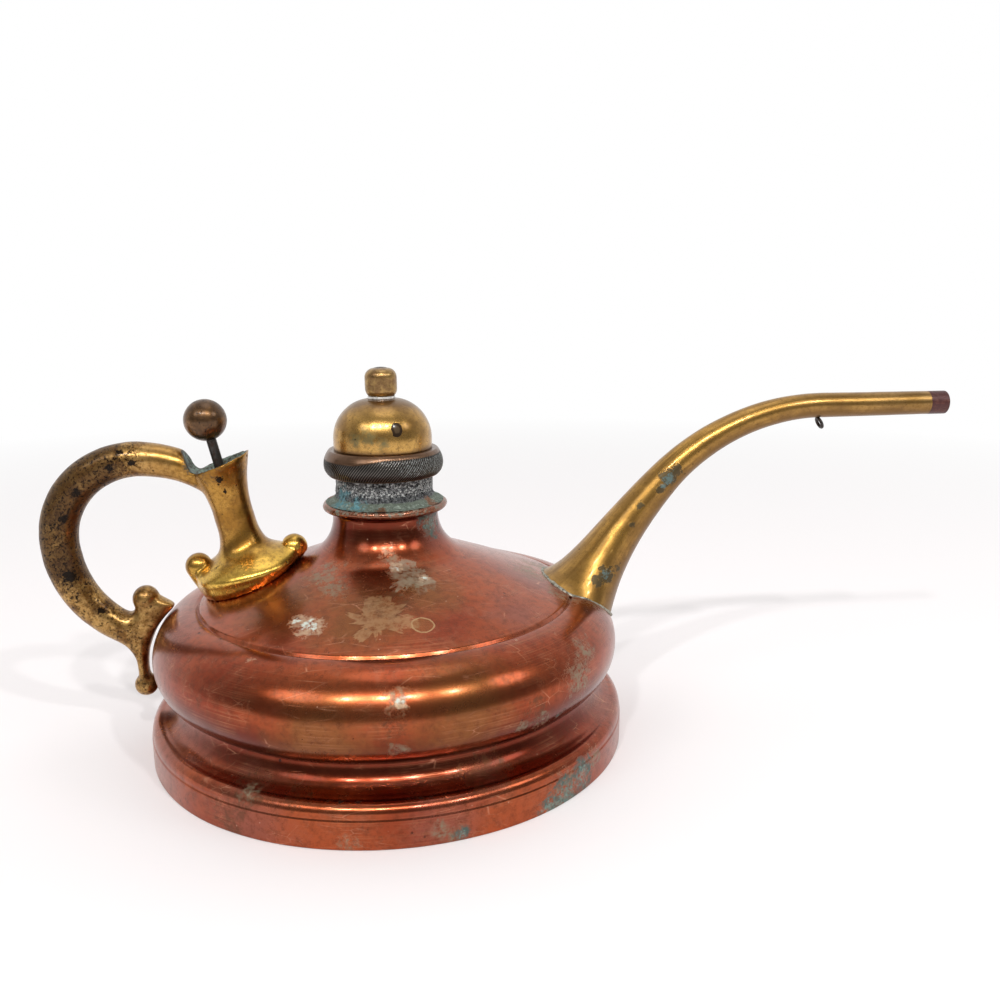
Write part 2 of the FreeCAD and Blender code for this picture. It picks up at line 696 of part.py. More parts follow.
# The cast brass spout is soldered on the shoulder over its port. A copper ferrule lines its tip.
nodes.append(shape_piece("spout", make_spout()))
ferrule = turned("spout_ferrule", [
    ("spout_tip_radius - spout_wall - solder_gap - ferrule_wall", "0"),
    ("spout_tip_radius - spout_wall - solder_gap", "0"),
    ("spout_tip_radius - spout_wall - solder_gap", "ferrule_spigot"),
    ("ferrule_radius", "ferrule_spigot"),
    ("ferrule_radius", "ferrule_spigot + ferrule_length"),
    ("spout_tip_radius - spout_wall - solder_gap - ferrule_wall", "ferrule_spigot + ferrule_length"),
], stand, "spout_height")
ferrule.setExpression("Placement.Base.x",
                      "Sizes.belly_radius + Sizes.spout_reach - Sizes.ferrule_length - Sizes.ferrule_spigot")
ferrule.Placement.Rotation = FreeCAD.Rotation(FreeCAD.Vector(0, 1, 0), 90)
nodes.append(ferrule)

# A wire eyelet under the spout held the cap's chain. Its shank is let into the casting.
eye = document.addObject("Part::Torus", "eyelet_ring")
eye.setExpression("Radius1", "Sizes.eyelet_radius")
eye.setExpression("Radius2", "Sizes.eyelet_wire")
eye.Placement = FreeCAD.Placement(FreeCAD.Vector(0, 0, 0), FreeCAD.Rotation(FreeCAD.Vector(0, 1, 0), 90))
shank = cylinder("eyelet_shank", "eyelet_wire", "eyelet_wire + spout_wall + contact_gap")
shank.setExpression("Placement.Base.z", "Sizes.eyelet_radius")
eyelet = document.addObject("Part::Fuse", "chain_eyelet")
eyelet.Base, eyelet.Tool = eye, shank
eyelet.Label = "chain_eyelet"
eyelet_middle, _ = eyelet_axis(-size["eyelet_radius"] - size["eyelet_wire"] - size["contact_gap"])
eyelet.Placement = FreeCAD.Placement(eyelet_middle,
                                     FreeCAD.Rotation(FreeCAD.Vector(0, 1, 0), -size["eyelet_lean"]))
nodes.append(eyelet)

# The handle is one brass casting: loop, heel, hollow post, foot and ears.
nodes.append(shape_piece("handle", make_handle()))

# The thumb valve. A bush guides the rod in the post's mouth, and small holes round it let air in.
bush_blank = turned("bush_blank", [
    ("rod_radius + running_gap", "0"),
    ("bush_radius", "0"),
    ("bush_radius", "bush_length"),
    ("bush_flange_radius", "bush_length"),
    ("bush_flange_radius", "bush_length + bush_flange_wall"),
    ("rod_radius + running_gap", "bush_length + bush_flange_wall"),
])
air_holes = []
for index in range(int(size["air_holes"])):
    hole = cylinder("air_hole_%d" % index, "air_hole_radius", "bush_length + bush_length")
    quarter = index * 2.0 * math.pi / size["air_holes"]
    hole.setExpression("Placement.Base.x", "Sizes.air_hole_circle * cos(%r rad)" % quarter)
    hole.setExpression("Placement.Base.y", "Sizes.air_hole_circle * sin(%r rad)" % quarter)
    air_holes.append(hole)
bush = cut("guide_bush", bush_blank, *air_holes)
lean(bush, "bush_height + solder_gap - bush_length")
nodes.append(bush)

# A turned seat comes up through the shoulder. Its lower rim is what the valve shuts on.
nodes.append(turned("valve_seat", [
    ("seat_bore", "0"),
    ("seat_radius", "0"),
    ("seat_radius", "seat_depth + seat_head"),
    ("seat_bore", "seat_depth + seat_head"),
], lean, "0 - seat_depth"))

# The rod runs from the thumb ball down through bush, spring and seat to the valve under the shoulder.
clamp = "rod_tail + valve_nut_height + disc_wall + leather_wall"
valve_floor = "0 - seat_depth - contact_gap - leather_wall - disc_wall - valve_nut_height - rod_tail"
rod_top = clamp + " + contact_gap + seat_depth + ball_height"
rod_blank = turned("rod_blank", [
    ("rod_radius", "0"),
    ("rod_radius", clamp),
    ("rod_shoulder_radius", clamp),
    ("rod_shoulder_radius", clamp + " + rod_shoulder_wall"),
    ("rod_radius", clamp + " + rod_shoulder_wall"),
    ("rod_radius", rod_top),
    ("0", rod_top),
    ("0", "0"),
])


def cross_drill(label, height):
    """A drill for the stop's pin, lying across the rod at a height given as a sum."""
    drill = cylinder(label, "pin_radius + contact_gap", "stop_radius + stop_radius + stop_radius")
    drill.Placement = FreeCAD.Placement(FreeCAD.Vector(0, 0, 0), FreeCAD.Rotation(FreeCAD.Vector(1, 0, 0), -90))
    drill.setExpression("Placement.Base.y", "-1.5 * Sizes.stop_radius")
    drill.setExpression("Placement.Base.z", bound(height))
    return drill


push_rod = cut("push_rod", rod_blank,
               cross_drill("rod_drill", clamp + " + contact_gap + seat_depth + stop_height + stop_half"))
lean(push_rod, valve_floor)
nodes.append(push_rod)

stop_blank = turned("stop_blank", [
    ("rod_radius + contact_gap", "0"),
    ("stop_radius", "0"),
    ("stop_radius", "stop_half + stop_half"),
    ("rod_radius + contact_gap", "stop_half + stop_half"),
])
rod_stop = cut("rod_stop", stop_blank, cross_drill("stop_drill", "stop_half"))
lean(rod_stop, "stop_height")
nodes.append(rod_stop)

pin = cylinder("stop_pin", "pin_radius", "stop_radius + stop_radius")
lean(pin, "stop_height + stop_half")
pin.setExpression("Placement.Base.y", "-Sizes.stop_radius")
pin.setExpression("Placement.Rotation.Axis.x", "1")
pin.setExpression("Placement.Rotation.Axis.y", "0")
pin.setExpression("Placement.Rotation.Angle", "-90 deg")
nodes.append(pin)

# The coil spring lies hidden in the post, so its solid is the plain sleeve that its turns fill.
nodes.append(turned("valve_spring", [
    ("stop_radius - spring_wall", "0"),
    ("stop_radius", "0"),
    ("stop_radius", "stop_height - seat_head"),
    ("stop_radius - spring_wall", "stop_height - seat_head"),
], lean, "seat_head"))

# Leather washer, brass disc and nut are clamped against the rod's shoulder and shut on the seat.
nodes.append(turned("valve_leather", [
    ("rod_radius + contact_gap", "0"),
    ("leather_radius", "0"),
    ("leather_radius", "leather_wall"),
    ("rod_radius + contact_gap", "leather_wall"),
], lean, "0 - seat_depth - contact_gap - leather_wall"))
nodes.append(turned("valve_disc", [
    ("rod_radius + contact_gap", "0"),
    ("disc_radius", "0"),
    ("disc_radius", "disc_wall"),
    ("rod_radius + contact_gap", "disc_wall"),
], lean, "0 - seat_depth - contact_gap - leather_wall - disc_wall"))
nodes.append(hexagon_nut("valve_nut", "valve_nut_radius", "valve_nut_height", "rod_radius + contact_gap",
                         lean, valve_floor + " + rod_tail"))

# The thumb ball is bored to its middle and soldered on the rod.
ball_blank = document.addObject("Part::Sphere", "ball_blank")
ball_blank.setExpression("Radius", "Sizes.ball_radius")
socket = cylinder("ball_socket", "rod_radius + contact_gap", "ball_radius + contact_gap")
socket.setExpression("Placement.Base.z", "-Sizes.ball_radius")
thumb_ball = cut("thumb_ball", ball_blank, socket)
lean(thumb_ball, "ball_height")
nodes.append(thumb_ball)

document.recompute()
for item in document.Objects:
    if any(state in ("Invalid", "Error") for state in item.State):
        raise RuntimeError("%s did not compute: %s" % (item.Label, item.State))
for node in nodes:
    if node.Shape.isNull() or not node.Shape.isValid():
        raise RuntimeError("%s has no sound shape" % node.Label)

os.makedirs("parts", exist_ok=True)
for node in nodes:
    node.Shape.exportStep(os.path.join("parts", node.Label + ".step"))
    box = node.Shape.BoundBox
    print("%-15s solids %d volume %9.2f  x %.2f..%.2f  y %.2f..%.2f  z %.2f..%.2f" % (
        node.Label, len(node.Shape.Solids), node.Shape.Volume,
        box.XMin, box.XMax, box.YMin, box.YMax, box.ZMin, box.ZMax))
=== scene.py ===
import math
import bmesh
import bpy
import numpy as np
from mathutils import Matrix, Vector


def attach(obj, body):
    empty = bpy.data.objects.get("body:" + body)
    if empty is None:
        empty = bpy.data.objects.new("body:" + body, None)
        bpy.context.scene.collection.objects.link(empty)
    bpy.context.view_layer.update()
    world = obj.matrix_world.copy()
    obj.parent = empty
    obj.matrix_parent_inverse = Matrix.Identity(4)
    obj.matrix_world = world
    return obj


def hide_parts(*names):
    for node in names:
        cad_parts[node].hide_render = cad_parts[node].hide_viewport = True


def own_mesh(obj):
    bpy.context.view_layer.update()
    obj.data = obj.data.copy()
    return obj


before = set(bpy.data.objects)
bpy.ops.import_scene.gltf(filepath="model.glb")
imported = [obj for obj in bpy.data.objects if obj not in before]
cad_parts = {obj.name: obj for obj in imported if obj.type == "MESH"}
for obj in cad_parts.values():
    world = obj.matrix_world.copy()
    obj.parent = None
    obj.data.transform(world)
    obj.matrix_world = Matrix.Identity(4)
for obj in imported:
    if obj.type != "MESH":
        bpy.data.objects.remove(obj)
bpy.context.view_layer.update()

# The view: the photograph's angle, a little to the left of square on and looking down 12 degrees.
camera_place = (0.0, -0.2388, 0.1128)
camera_yaw, camera_pitch, camera_roll = 6.99, 12.46, 0.50
camera_lens = 34.56

lens = bpy.data.cameras.new("view")
lens.lens = camera_lens
lens.clip_start = 0.01
camera = bpy.data.objects.new("view", lens)
camera.matrix_world = (Matrix.Translation(camera_place)
                       @ Matrix.Rotation(math.radians(-camera_yaw), 4, "Z")
                       @ Matrix.Rotation(math.radians(90.0 - camera_pitch), 4, "X")
                       @ Matrix.Rotation(math.radians(-camera_roll), 4, "Z"))
bpy.context.collection.objects.link(camera)
bpy.context.scene.camera = camera
bpy.context.scene.view_settings.view_transform = "Standard"


def linear(code):
    """The linear colour, with full cover, of an sRGB colour such as #b87333."""
    parts = [int(code[index:index + 2], 16) / 255.0 for index in (1, 3, 5)]
    return tuple(part / 12.92 if part <= 0.04045 else ((part + 0.055) / 1.055) ** 2.4
                 for part in parts) + (1.0,)


def add(tree, kind, inputs, **settings):
    """Adds one shader node. Inputs are given by socket name or number, each a value, an output or a
    node, whose first output is linked."""
    made = tree.nodes.new("ShaderNode" + kind)
    for name, value in settings.items():
        setattr(made, name, value)
    for socket, value in inputs.items():
        if isinstance(value, bpy.types.Node):
            value = value.outputs[0]
        if isinstance(value, bpy.types.NodeSocket):
            tree.links.new(value, made.inputs[socket])
        else:
            made.inputs[socket].default_value = value
    return made


# The studio: a floor of white cloth that fades to plain white far off, a white wall behind, a dimmer
# room in front of the object, soft lamps and a row of small ceiling spots over the camera, so that
# the rounded metal shows light and dark bands and rows of glints.
floor_size = 6.0
floor_colour = "#f7f2f2"
fade_near, fade_far, fade_least = 0.15, 0.62, 0.12
mirror_share = 0.6
room_front, room_back = 0.20, 0.92
lamp_sizes = {
    "lamp_left": ((-0.55, -0.45, 0.62), 0.30, 0.7),
    "lamp_right": ((0.62, -0.30, 0.55), 0.26, 0.6),
    "lamp_over": ((0.05, 0.05, 0.90), 0.50, 0.7),
}
ceiling_spots = [(-0.46, -0.95, 1.05), (-0.12, -1.00, 1.05), (0.18, -1.00, 1.05), (0.62, -0.92, 1.05)]
ceiling_spot_size, ceiling_spot_power = 0.065, 3.5
lamp_target = (0.0, 0.0, 0.03)

world = bpy.data.worlds.new("studio")
bpy.context.scene.world = world
world.use_nodes = True
studio = world.node_tree
studio.nodes.clear()
heading = add(studio, "TexCoord", {})
axes = add(studio, "SeparateXYZ", {0: heading.outputs["Generated"]})
depth = add(studio, "MapRange", {0: axes.outputs["Y"], 1: -0.35, 2: 0.45, 3: room_front, 4: room_back})
ray = add(studio, "LightPath", {})
seen = add(studio, "Mix", {0: ray.outputs["Is Camera Ray"], 2: depth, 3: 1.0})
glow = add(studio, "Background", {"Color": (1.0, 1.0, 1.0, 1.0), "Strength": seen})
add(studio, "OutputWorld", {"Surface": glow})

for index, spot in enumerate(ceiling_spots):
    lamp_sizes["ceiling_%d" % index] = (spot, ceiling_spot_size, ceiling_spot_power)
for label, (place, width, power) in lamp_sizes.items():
    light = bpy.data.lights.new(label, "AREA")
    light.shape, light.size, light.energy = "DISK", width, power
    lamp = bpy.data.objects.new(label, light)
    turn = (Vector(place) - Vector(lamp_target)).to_track_quat("Z", "Y")
    lamp.matrix_world = Matrix.Translation(place) @ turn.to_matrix().to_4x4()
    bpy.context.collection.objects.link(lamp)

floor_mesh = bpy.data.meshes.new("floor")
half = floor_size / 2.0
floor_corners = [(-half, -half, 0.0), (half, -half, 0.0), (half, half, 0.0), (-half, half, 0.0)]
floor_mesh.from_pydata(floor_corners, [], [(0, 1, 2, 3)])
floor = bpy.data.objects.new("floor", floor_mesh)
bpy.context.collection.objects.link(floor)
cloth = bpy.data.materials.new("pale_cloth")
cloth.use_nodes = True
weave = cloth.node_tree
matt = weave.nodes["Principled BSDF"]
matt.inputs["Base Color"].default_value = linear(floor_colour)
matt.inputs["Roughness"].default_value = 0.9
spread = add(weave, "TexCoord", {})
away = add(weave, "VectorMath", {0: spread.outputs["Object"]}, operation="LENGTH")
fade = add(weave, "MapRange", {0: away.outputs["Value"], 1: fade_near, 2: fade_far, 3: fade_least})
look = add(weave, "LightPath", {})
mirrored = add(weave, "Math", {0: look.outputs["Is Glossy Ray"], 1: mirror_share}, operation="MULTIPLY")
looks = add(weave, "Math", {0: look.outputs["Is Camera Ray"], 1: mirrored}, operation="MAXIMUM")
shown = add(weave, "Math", {0: fade, 1: looks}, operation="MULTIPLY")
white = add(weave, "Emission", {"Color": (1.0, 1.0, 1.0, 1.0), "Strength": 1.0})
blend = add(weave, "MixShader", {0: shown, 1: matt, 2: white})
weave.links.new(blend.outputs[0], weave.nodes["Material Output"].inputs["Surface"])
floor_mesh.materials.append(cloth)


# The can: neck, shoulder, groove and belly are spun from one copper sheet 1 mm thick over a former.
# Years of lamp spirit, thumbs and polish have left the copper red brown, spotted and dented.
mm = 0.001
shell_wall = 1.0
waist_radius, waist_height, waist_lap, hem_drop = 52.0, 16.0, 0.05, 3.5
belly_radius, belly_height, belly_foot = 58.4, 25.0, 53.5
groove_radius, groove_height, groove_half, groove_depth = 47.0, 36.8, 0.55, 0.5
flare_end, flare_end_height, flare_height = 20.07, 47.43, 57.42
neck_radius, neck_top = 13.2, 57.72
lip_radius, lip_height, lip_round = 14.6, 59.92, 1.0
wax_roughness = 0.13
# neck_shade and cove_shade place painted shade: a darker red painted on the neck and on the belly below
# its widest.
neck_shade, cove_shade, lip_dented, lip_stained = (48.5, 5.0), (29.0, -7.0), (58.4, 0.8), (58.9, 0.7)


def bow(start, end, level=None, plumb=None, count=24):
    """Points of the arc from start to end whose middle is at a height level or at a radius plumb.

    The middle is as far from both ends, which gives its other coordinate."""
    start, end = np.array(start, float), np.array(end, float)
    known, fixed = (1, level) if plumb is None else (0, plumb)
    free = 1 - known
    square = start[free] ** 2 - end[free] ** 2 + (start[known] - fixed) ** 2 - (end[known] - fixed) ** 2
    middle = np.zeros(2)
    middle[known] = fixed
    middle[free] = square / (2.0 * (start[free] - end[free]))
    first, last = start - middle, end - middle
    angle = math.atan2(first[1], first[0])
    turn = (math.atan2(last[1], last[0]) - angle + math.pi) % (2.0 * math.pi) - math.pi
    angles = angle + turn * np.linspace(0.0, 1.0, count)
    return (middle + np.hypot(*first) * np.stack([np.cos(angles), np.sin(angles)], 1)).tolist()


def profile(*steps):
    """Outline of (radius, height) points. A step of two numbers is a corner; a third tells how an arc
    runs there from the last point, as bow takes it."""
    outline = []
    for step in steps:
        outline += [step] if len(step) == 2 else bow(outline[-1], step[:2], **step[2])
    return outline


def worn(outline, wear, count, closed=True):
    """The outline with its corners rubbed round, as count points that crowd where it bends.

    It is cut into even steps and each is averaged with its neighbours over the wear length in mm.
    The points are then spread evenly over length plus a share of the turning."""
    outline = np.array(outline, float)
    if closed:
        outline = np.vstack([outline, outline[:1]])
    reach = np.r_[0.0, np.cumsum(np.hypot(*np.diff(outline, axis=0).T))]
    step = wear / 4.0
    even = np.linspace(0.0, reach[-1], int(reach[-1] / step) + 1)
    fine = np.stack([np.interp(even, reach, outline[:, axis]) for axis in (0, 1)], 1)
    for _ in range(12):
        if closed:
            ring = fine[:-1]
            ring = (np.roll(ring, 1, 0) + 2.0 * ring + np.roll(ring, -1, 0)) / 4.0
            fine = np.vstack([ring, ring[:1]])
        else:
            fine[1:-1] = (fine[:-2] + 2.0 * fine[1:-1] + fine[2:]) / 4.0
    run = np.diff(fine, axis=0)
    turning = np.abs(np.diff(np.unwrap(np.arctan2(run[:, 1], run[:, 0]))))
    turning = np.r_[turning, turning[-1]]
    density = np.hypot(*run.T) + turning * 0.12 * reach[-1] / (2.0 * math.pi)
    share = np.r_[0.0, np.cumsum(density)]
    spots = np.linspace(0.0, share[-1], count + 1)
    points = np.stack([np.interp(spots, share, fine[:, axis]) for axis in (0, 1)], 1)
    return points[:-1] if closed else points


def lumps(points, size, seed=0):
    """Smooth random heights from -1 to 1 over points in mm, about one lump to each size in mm.

    Whole-number corners of a grid get a fixed random value, eased between along each axis."""
    place = points / size
    corner = np.floor(place).astype(np.int64)
    part = place - corner
    part = part * part * (3.0 - 2.0 * part)
    total = np.zeros(points.shape[:-1])
    for which in range(8):
        pick = np.array([which & 1, (which >> 1) & 1, (which >> 2) & 1])
        cell = corner + pick
        mixed = (cell[..., 0] * 73856093) ^ (cell[..., 1] * 19349663) ^ (cell[..., 2] * 83492791)
        mixed = mixed ^ (seed * 2654435)
        mixed = (mixed ^ (mixed >> 13)) * 1274126177
        value = ((mixed ^ (mixed >> 16)) & 0xffff) / 32767.5 - 1.0
        total += value * np.prod(np.where(pick, part, 1.0 - part), axis=-1)
    return total


def spin(outline, around):
    """Grid of points, in mm, of an outline of (radius, height) carried round the Z axis."""
    angles = np.linspace(0.0, 2.0 * math.pi, around, endpoint=False)
    radius, height = outline[:, 0][:, None], outline[:, 1][:, None]
    return np.stack([radius * np.cos(angles), radius * np.sin(angles), height + 0.0 * angles], -1)


def turned(outline, wear, count, around, floor=0.0, closed=True):
    """Grid of a turned piece: its worn outline, lifted by the height of its floor and spun round."""
    shape = worn(outline, wear, count, closed)
    shape[:, 1] += floor
    return spin(shape, around)


def ramp(values, start, length):
    """Rises evenly from 0 at a start to 1 a length further on, or further back if it is negative.

    The pairs of numbers kept with a piece's sizes are such a start and length, in mm."""
    return np.clip((values - start) / length, 0.0, 1.0)


def press(grid, height):
    """Moves the points of a closed grid outwards by a height in mm each.

    Outwards is along the cross product of the grid's two slopes."""
    around = np.roll(grid, -1, 1) - np.roll(grid, 1, 1)
    along = np.roll(grid, -1, 0) - np.roll(grid, 1, 0)
    normal = np.cross(around, along)
    normal = normal / np.maximum(np.linalg.norm(normal, axis=-1, keepdims=True), 1e-9)
    grid += normal * height[..., None]


def store(mesh, layer, values):
    """Stores a number, or a place of three numbers, for each point of a mesh, for its material."""
    values = np.asarray(values, np.float32).ravel()
    single = len(values) == len(mesh.vertices)
    kind, field = ("FLOAT", "value") if single else ("FLOAT_VECTOR", "vector")
    mesh.attributes.new(layer, kind, "POINT").data.foreach_set(field, values)


def surface(label, grid, closed=True, sharp=35.0, **layers):
    """A mesh object from a grid of points in mm whose columns run round and, if closed, its rows.

    Each grid square is a face. Poles are merged, and faces turned outwards by the sign of the volume.
    Layers are numbers stored for the points."""
    rows, columns = grid.shape[:2]
    number = np.arange(rows * columns).reshape(rows, columns)
    here = number if closed else number[:-1]
    above = np.roll(number, -1, 0) if closed else number[1:]
    faces = np.stack([here, np.roll(here, -1, 1), np.roll(above, -1, 1), above], -1).reshape(-1, 4)
    points = grid.reshape(-1, 3) * mm
    first, second, third, fourth = (points[faces[:, side]] for side in range(4))
    volume = np.einsum("ij,ij->", first, np.cross(second, third) + np.cross(third, fourth))
    if volume < 0.0:
        faces = faces[:, ::-1]
    mesh = bpy.data.meshes.new(label)
    mesh.from_pydata(points, [], faces)
    for layer, values in layers.items():
        store(mesh, layer, values)
    work = bmesh.new()
    work.from_mesh(mesh)
    bmesh.ops.remove_doubles(work, verts=work.verts, dist=1e-7)
    bmesh.ops.dissolve_degenerate(work, edges=work.edges, dist=1e-8)
    work.to_mesh(mesh)
    work.free()
    mesh.shade_smooth()
    mesh.set_sharp_from_angle(angle=math.radians(sharp))
    piece = bpy.data.objects.new(label, mesh)
    bpy.context.collection.objects.link(piece)
    return piece


def gather(items, field, width=3, kind=np.float32):
    """A field of all points or edges of a mesh as an array with a width of so many columns."""
    values = np.zeros(len(items) * width, kind)
    items.foreach_get(field, values)
    return values.reshape(-1, width)


def soak(piece, layer, spots):
    """Stores how deep each point lies in the stains of a layer, from 1 in a middle to 0 at an edge.

    A spot is (x, y, z, radius) in mm. The depth is one less the distance over the radius."""
    points = gather(piece.data.vertices, "co") / mm
    depth = np.zeros(len(points))
    for spot in spots:
        away = np.linalg.norm(points - np.array(spot[:3]), axis=1)
        depth = np.maximum(depth, 1.0 - away / spot[3])
    store(piece.data, layer, depth)


def read(tree, place, layer, low, high, cover):
    """Mask of a stored layer, from 0 at low to its full cover at high, the same at any place."""
    depth = add(tree, "Attribute", {}, attribute_name=layer)
    return add(tree, "MapRange", {0: depth.outputs["Fac"], 1: low, 2: high, 4: cover})


def patches(tree, place, size, low, high, detail=4.0, broken=0.6, twist=0.0, cover=1.0):
    """Mask of cloudy patches about a size in mm across: noise, from 0 at low to its cover at high."""
    cloud = add(tree, "TexNoise", {"Vector": place, "Scale": 1.0 / (size * mm), "Detail": detail,
                                   "Roughness": broken, "Distortion": twist})
    return add(tree, "MapRange", {0: cloud, 1: low, 2: high, 4: cover})


def stains(tree, place, layer, size, low, high, strength=1.0, cover=1.0, speckle=0.0):
    """Mask of a stored layer whose edge is broken up by noise of a size in mm.

    Where speckle is a size in mm, finer noise of that size leaves bare grains in it."""
    depth = add(tree, "Attribute", {}, attribute_name=layer)
    cloud = add(tree, "TexNoise", {"Vector": place, "Scale": 1.0 / (size * mm), "Detail": 6.0,
                                   "Roughness": 0.68})
    ragged = add(tree, "Math", {0: cloud, 1: -0.5}, operation="ADD")
    ragged = add(tree, "Math", {0: ragged, 1: strength, 2: depth.outputs["Fac"]},
                 operation="MULTIPLY_ADD")
    whole = add(tree, "MapRange", {0: ragged, 1: low, 2: high, 4: cover})
    reached = add(tree, "MapRange", {0: depth.outputs["Fac"], 1: 0.0, 2: 0.15})
    whole = add(tree, "Math", {0: whole, 1: reached}, operation="MULTIPLY")
    if speckle == 0.0:
        return whole
    grains = patches(tree, place, speckle, 0.40, 0.58, 5.0, 0.75)
    return add(tree, "Math", {0: whole, 1: grains}, operation="MULTIPLY")


def pits(tree, place, size, width, share):
    """Mask of round pits: cells of a size in mm, a share of which hold a pit of a width in mm."""
    cells = add(tree, "TexVoronoi", {"Vector": place, "Scale": 1.0 / (size * mm)})
    kept = add(tree, "SeparateColor", {0: cells.outputs["Color"]})
    chosen = add(tree, "Math", {0: kept, 1: share}, operation="LESS_THAN")
    uneven = add(tree, "Math", {0: kept.outputs[1], 1: width / size}, operation="MULTIPLY")
    edge = add(tree, "Math", {0: uneven, 1: cells.outputs["Distance"]}, operation="SUBTRACT")
    round_pit = add(tree, "MapRange", {0: edge, 1: 0.0, 2: 0.12})
    return add(tree, "Math", {0: round_pit, 1: chosen}, operation="MULTIPLY")


def scratches(tree, place, turn, length, spread, group):
    """Mask of hairline scratches: the borders of cells drawn out along one direction, about length
    by spread in mm, kept where a broader noise, group mm across, is high."""
    scale = (1.0 / (length * mm), 1.0 / (spread * mm), 1.0 / (spread * mm))
    drawn = add(tree, "Mapping", {"Vector": place, "Rotation": turn, "Scale": scale})
    cells = add(tree, "TexVoronoi", {"Vector": drawn, "Scale": 1.0}, feature="DISTANCE_TO_EDGE")
    line = add(tree, "MapRange", {0: cells.outputs["Distance"], 1: 0.020, 2: 0.004})
    kept = patches(tree, place, group, 0.54, 0.68, cover=0.6)
    return add(tree, "Math", {0: line, 1: kept}, operation="MULTIPLY")


def splash(tree, place, middle, reach, cover):
    """Mask of a dried splash: from its middle it runs out a random share of its reach, in mm, in
    each direction, and fine noise breaks it up."""
    offset = add(tree, "VectorMath", {0: place, 1: [part * mm for part in middle]},
                 operation="SUBTRACT")
    away = add(tree, "VectorMath", {0: offset}, operation="LENGTH")
    heading = add(tree, "VectorMath", {0: offset}, operation="NORMALIZE")
    streaks = add(tree, "TexNoise", {"Vector": heading, "Scale": 1.5, "Detail": 3.0, "Roughness": 0.62})
    limit = add(tree, "MapRange", {0: streaks, 1: 0.38, 2: 0.62, 3: 0.32 * reach * mm, 4: reach * mm})
    inside = add(tree, "Math", {0: limit, 1: away.outputs["Value"]}, operation="SUBTRACT")
    soft = add(tree, "MapRange", {0: inside, 1: 0.0, 2: 0.5 * mm, 4: cover})
    worn_off = patches(tree, place, 1.6, 0.36, 0.56, 6.0, 0.75)
    return add(tree, "Math", {0: soft, 1: worn_off}, operation="MULTIPLY")


def drop(tree, place, middle, radius, rim, uneven, tall=1.0, cover=1.0):
    """Mask of a dried drop: its cover within rim mm of the edge of a spot of a radius in mm, the whole
    spot where the rim is twice the radius. Noise makes its outline uneven, and it may be tall."""
    bend = add(tree, "TexNoise", {"Vector": place, "Scale": 1.0 / (1.6 * mm), "Detail": 3.0})
    offset = add(tree, "VectorMath", {0: place, 1: [part * mm for part in middle]},
                 operation="SUBTRACT")
    offset = add(tree, "VectorMath", {0: offset, 1: (1.0, 1.0, 1.0 / tall)}, operation="MULTIPLY")
    away = add(tree, "VectorMath", {0: offset}, operation="LENGTH")
    swell = add(tree, "Math", {0: bend, 1: uneven * mm, 2: away.outputs["Value"]},
                operation="MULTIPLY_ADD")
    middle_line = (radius - rim / 2.0 + uneven / 2.0) * mm
    across = add(tree, "Math", {0: swell, 1: middle_line}, operation="SUBTRACT")
    across = add(tree, "Math", {0: across}, operation="ABSOLUTE")
    return add(tree, "MapRange", {0: across, 1: rim / 2.0 * mm, 2: (rim / 2.0 - 0.16) * mm,
                                  4: cover})


def spinning(tree, place, width, low, high):
    """Mask of fine rings left by spinning or turning: noise over radius and height, width in mm."""
    parts = add(tree, "SeparateXYZ", {0: place})
    flat = add(tree, "CombineXYZ", {0: parts, 1: parts.outputs[1]})
    radius = add(tree, "VectorMath", {0: flat}, operation="LENGTH")
    section = add(tree, "CombineXYZ", {0: radius.outputs["Value"], 1: parts.outputs[2]})
    rings = add(tree, "TexNoise", {"Vector": section, "Scale": 1.0 / (width * mm), "Detail": 2.0},
                noise_dimensions="2D")
    return add(tree, "MapRange", {0: rings, 1: low, 2: high})


def mask(kind, *values, **named):
    """A mask for a finish: one of the kinds above with its values, drawn when a material asks."""
    return lambda tree, place: kind(tree, place, *values, **named)


def finish(label, coats, bumps, wax=0.0):
    """A material from coats laid one over another, bumps, and the weight of a waxy coat.

    A coat is (mask, colour, roughness, metal); the first has no mask and is the bare surface. Masks
    are functions of the node tree and the place on the object. A bump is (mask, height in mm)."""
    material = bpy.data.materials.new(label)
    material.use_nodes = True
    tree = material.node_tree
    shader = tree.nodes["Principled BSDF"]
    shader.inputs["Coat Weight"].default_value = wax
    shader.inputs["Coat Roughness"].default_value = wax_roughness
    place = add(tree, "TexCoord", {}).outputs["Object"]
    _, colour, rough, metal = coats[0]
    colour = linear(colour)
    made = {}
    for pattern, shade, roughness, metallic in coats[1:]:
        made[pattern] = made[pattern] if pattern in made else pattern(tree, place)
        cover = made[pattern]
        colour = add(tree, "Mix", {0: cover, 6: colour, 7: linear(shade)}, data_type="RGBA").outputs[2]
        rough = add(tree, "Mix", {0: cover, 2: rough, 3: roughness}).outputs[0]
        metal = add(tree, "Mix", {0: cover, 2: metal, 3: metallic}).outputs[0]
    for socket, value in (("Base Color", colour), ("Roughness", rough), ("Metallic", metal)):
        if isinstance(value, bpy.types.NodeSocket):
            tree.links.new(value, shader.inputs[socket])
        else:
            shader.inputs[socket].default_value = value
    normal = None
    for pattern, height in bumps:
        made[pattern] = made[pattern] if pattern in made else pattern(tree, place)
        relief = {"Height": made[pattern], "Distance": abs(height) * mm, "Strength": 1.0}
        if normal is not None:
            relief["Normal"] = normal
        normal = add(tree, "Bump", relief, invert=height < 0.0).outputs[0]
    if normal is not None:
        tree.links.new(normal, shader.inputs["Normal"])
    return material


def dress(piece, material, slot, body, *nodes):
    """Gives a finished piece its material and the body it rides on; slot is not used."""
    piece.data.materials.clear()
    piece.data.materials.append(material)
    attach(piece, body)
    if nodes:
        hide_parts(*nodes)


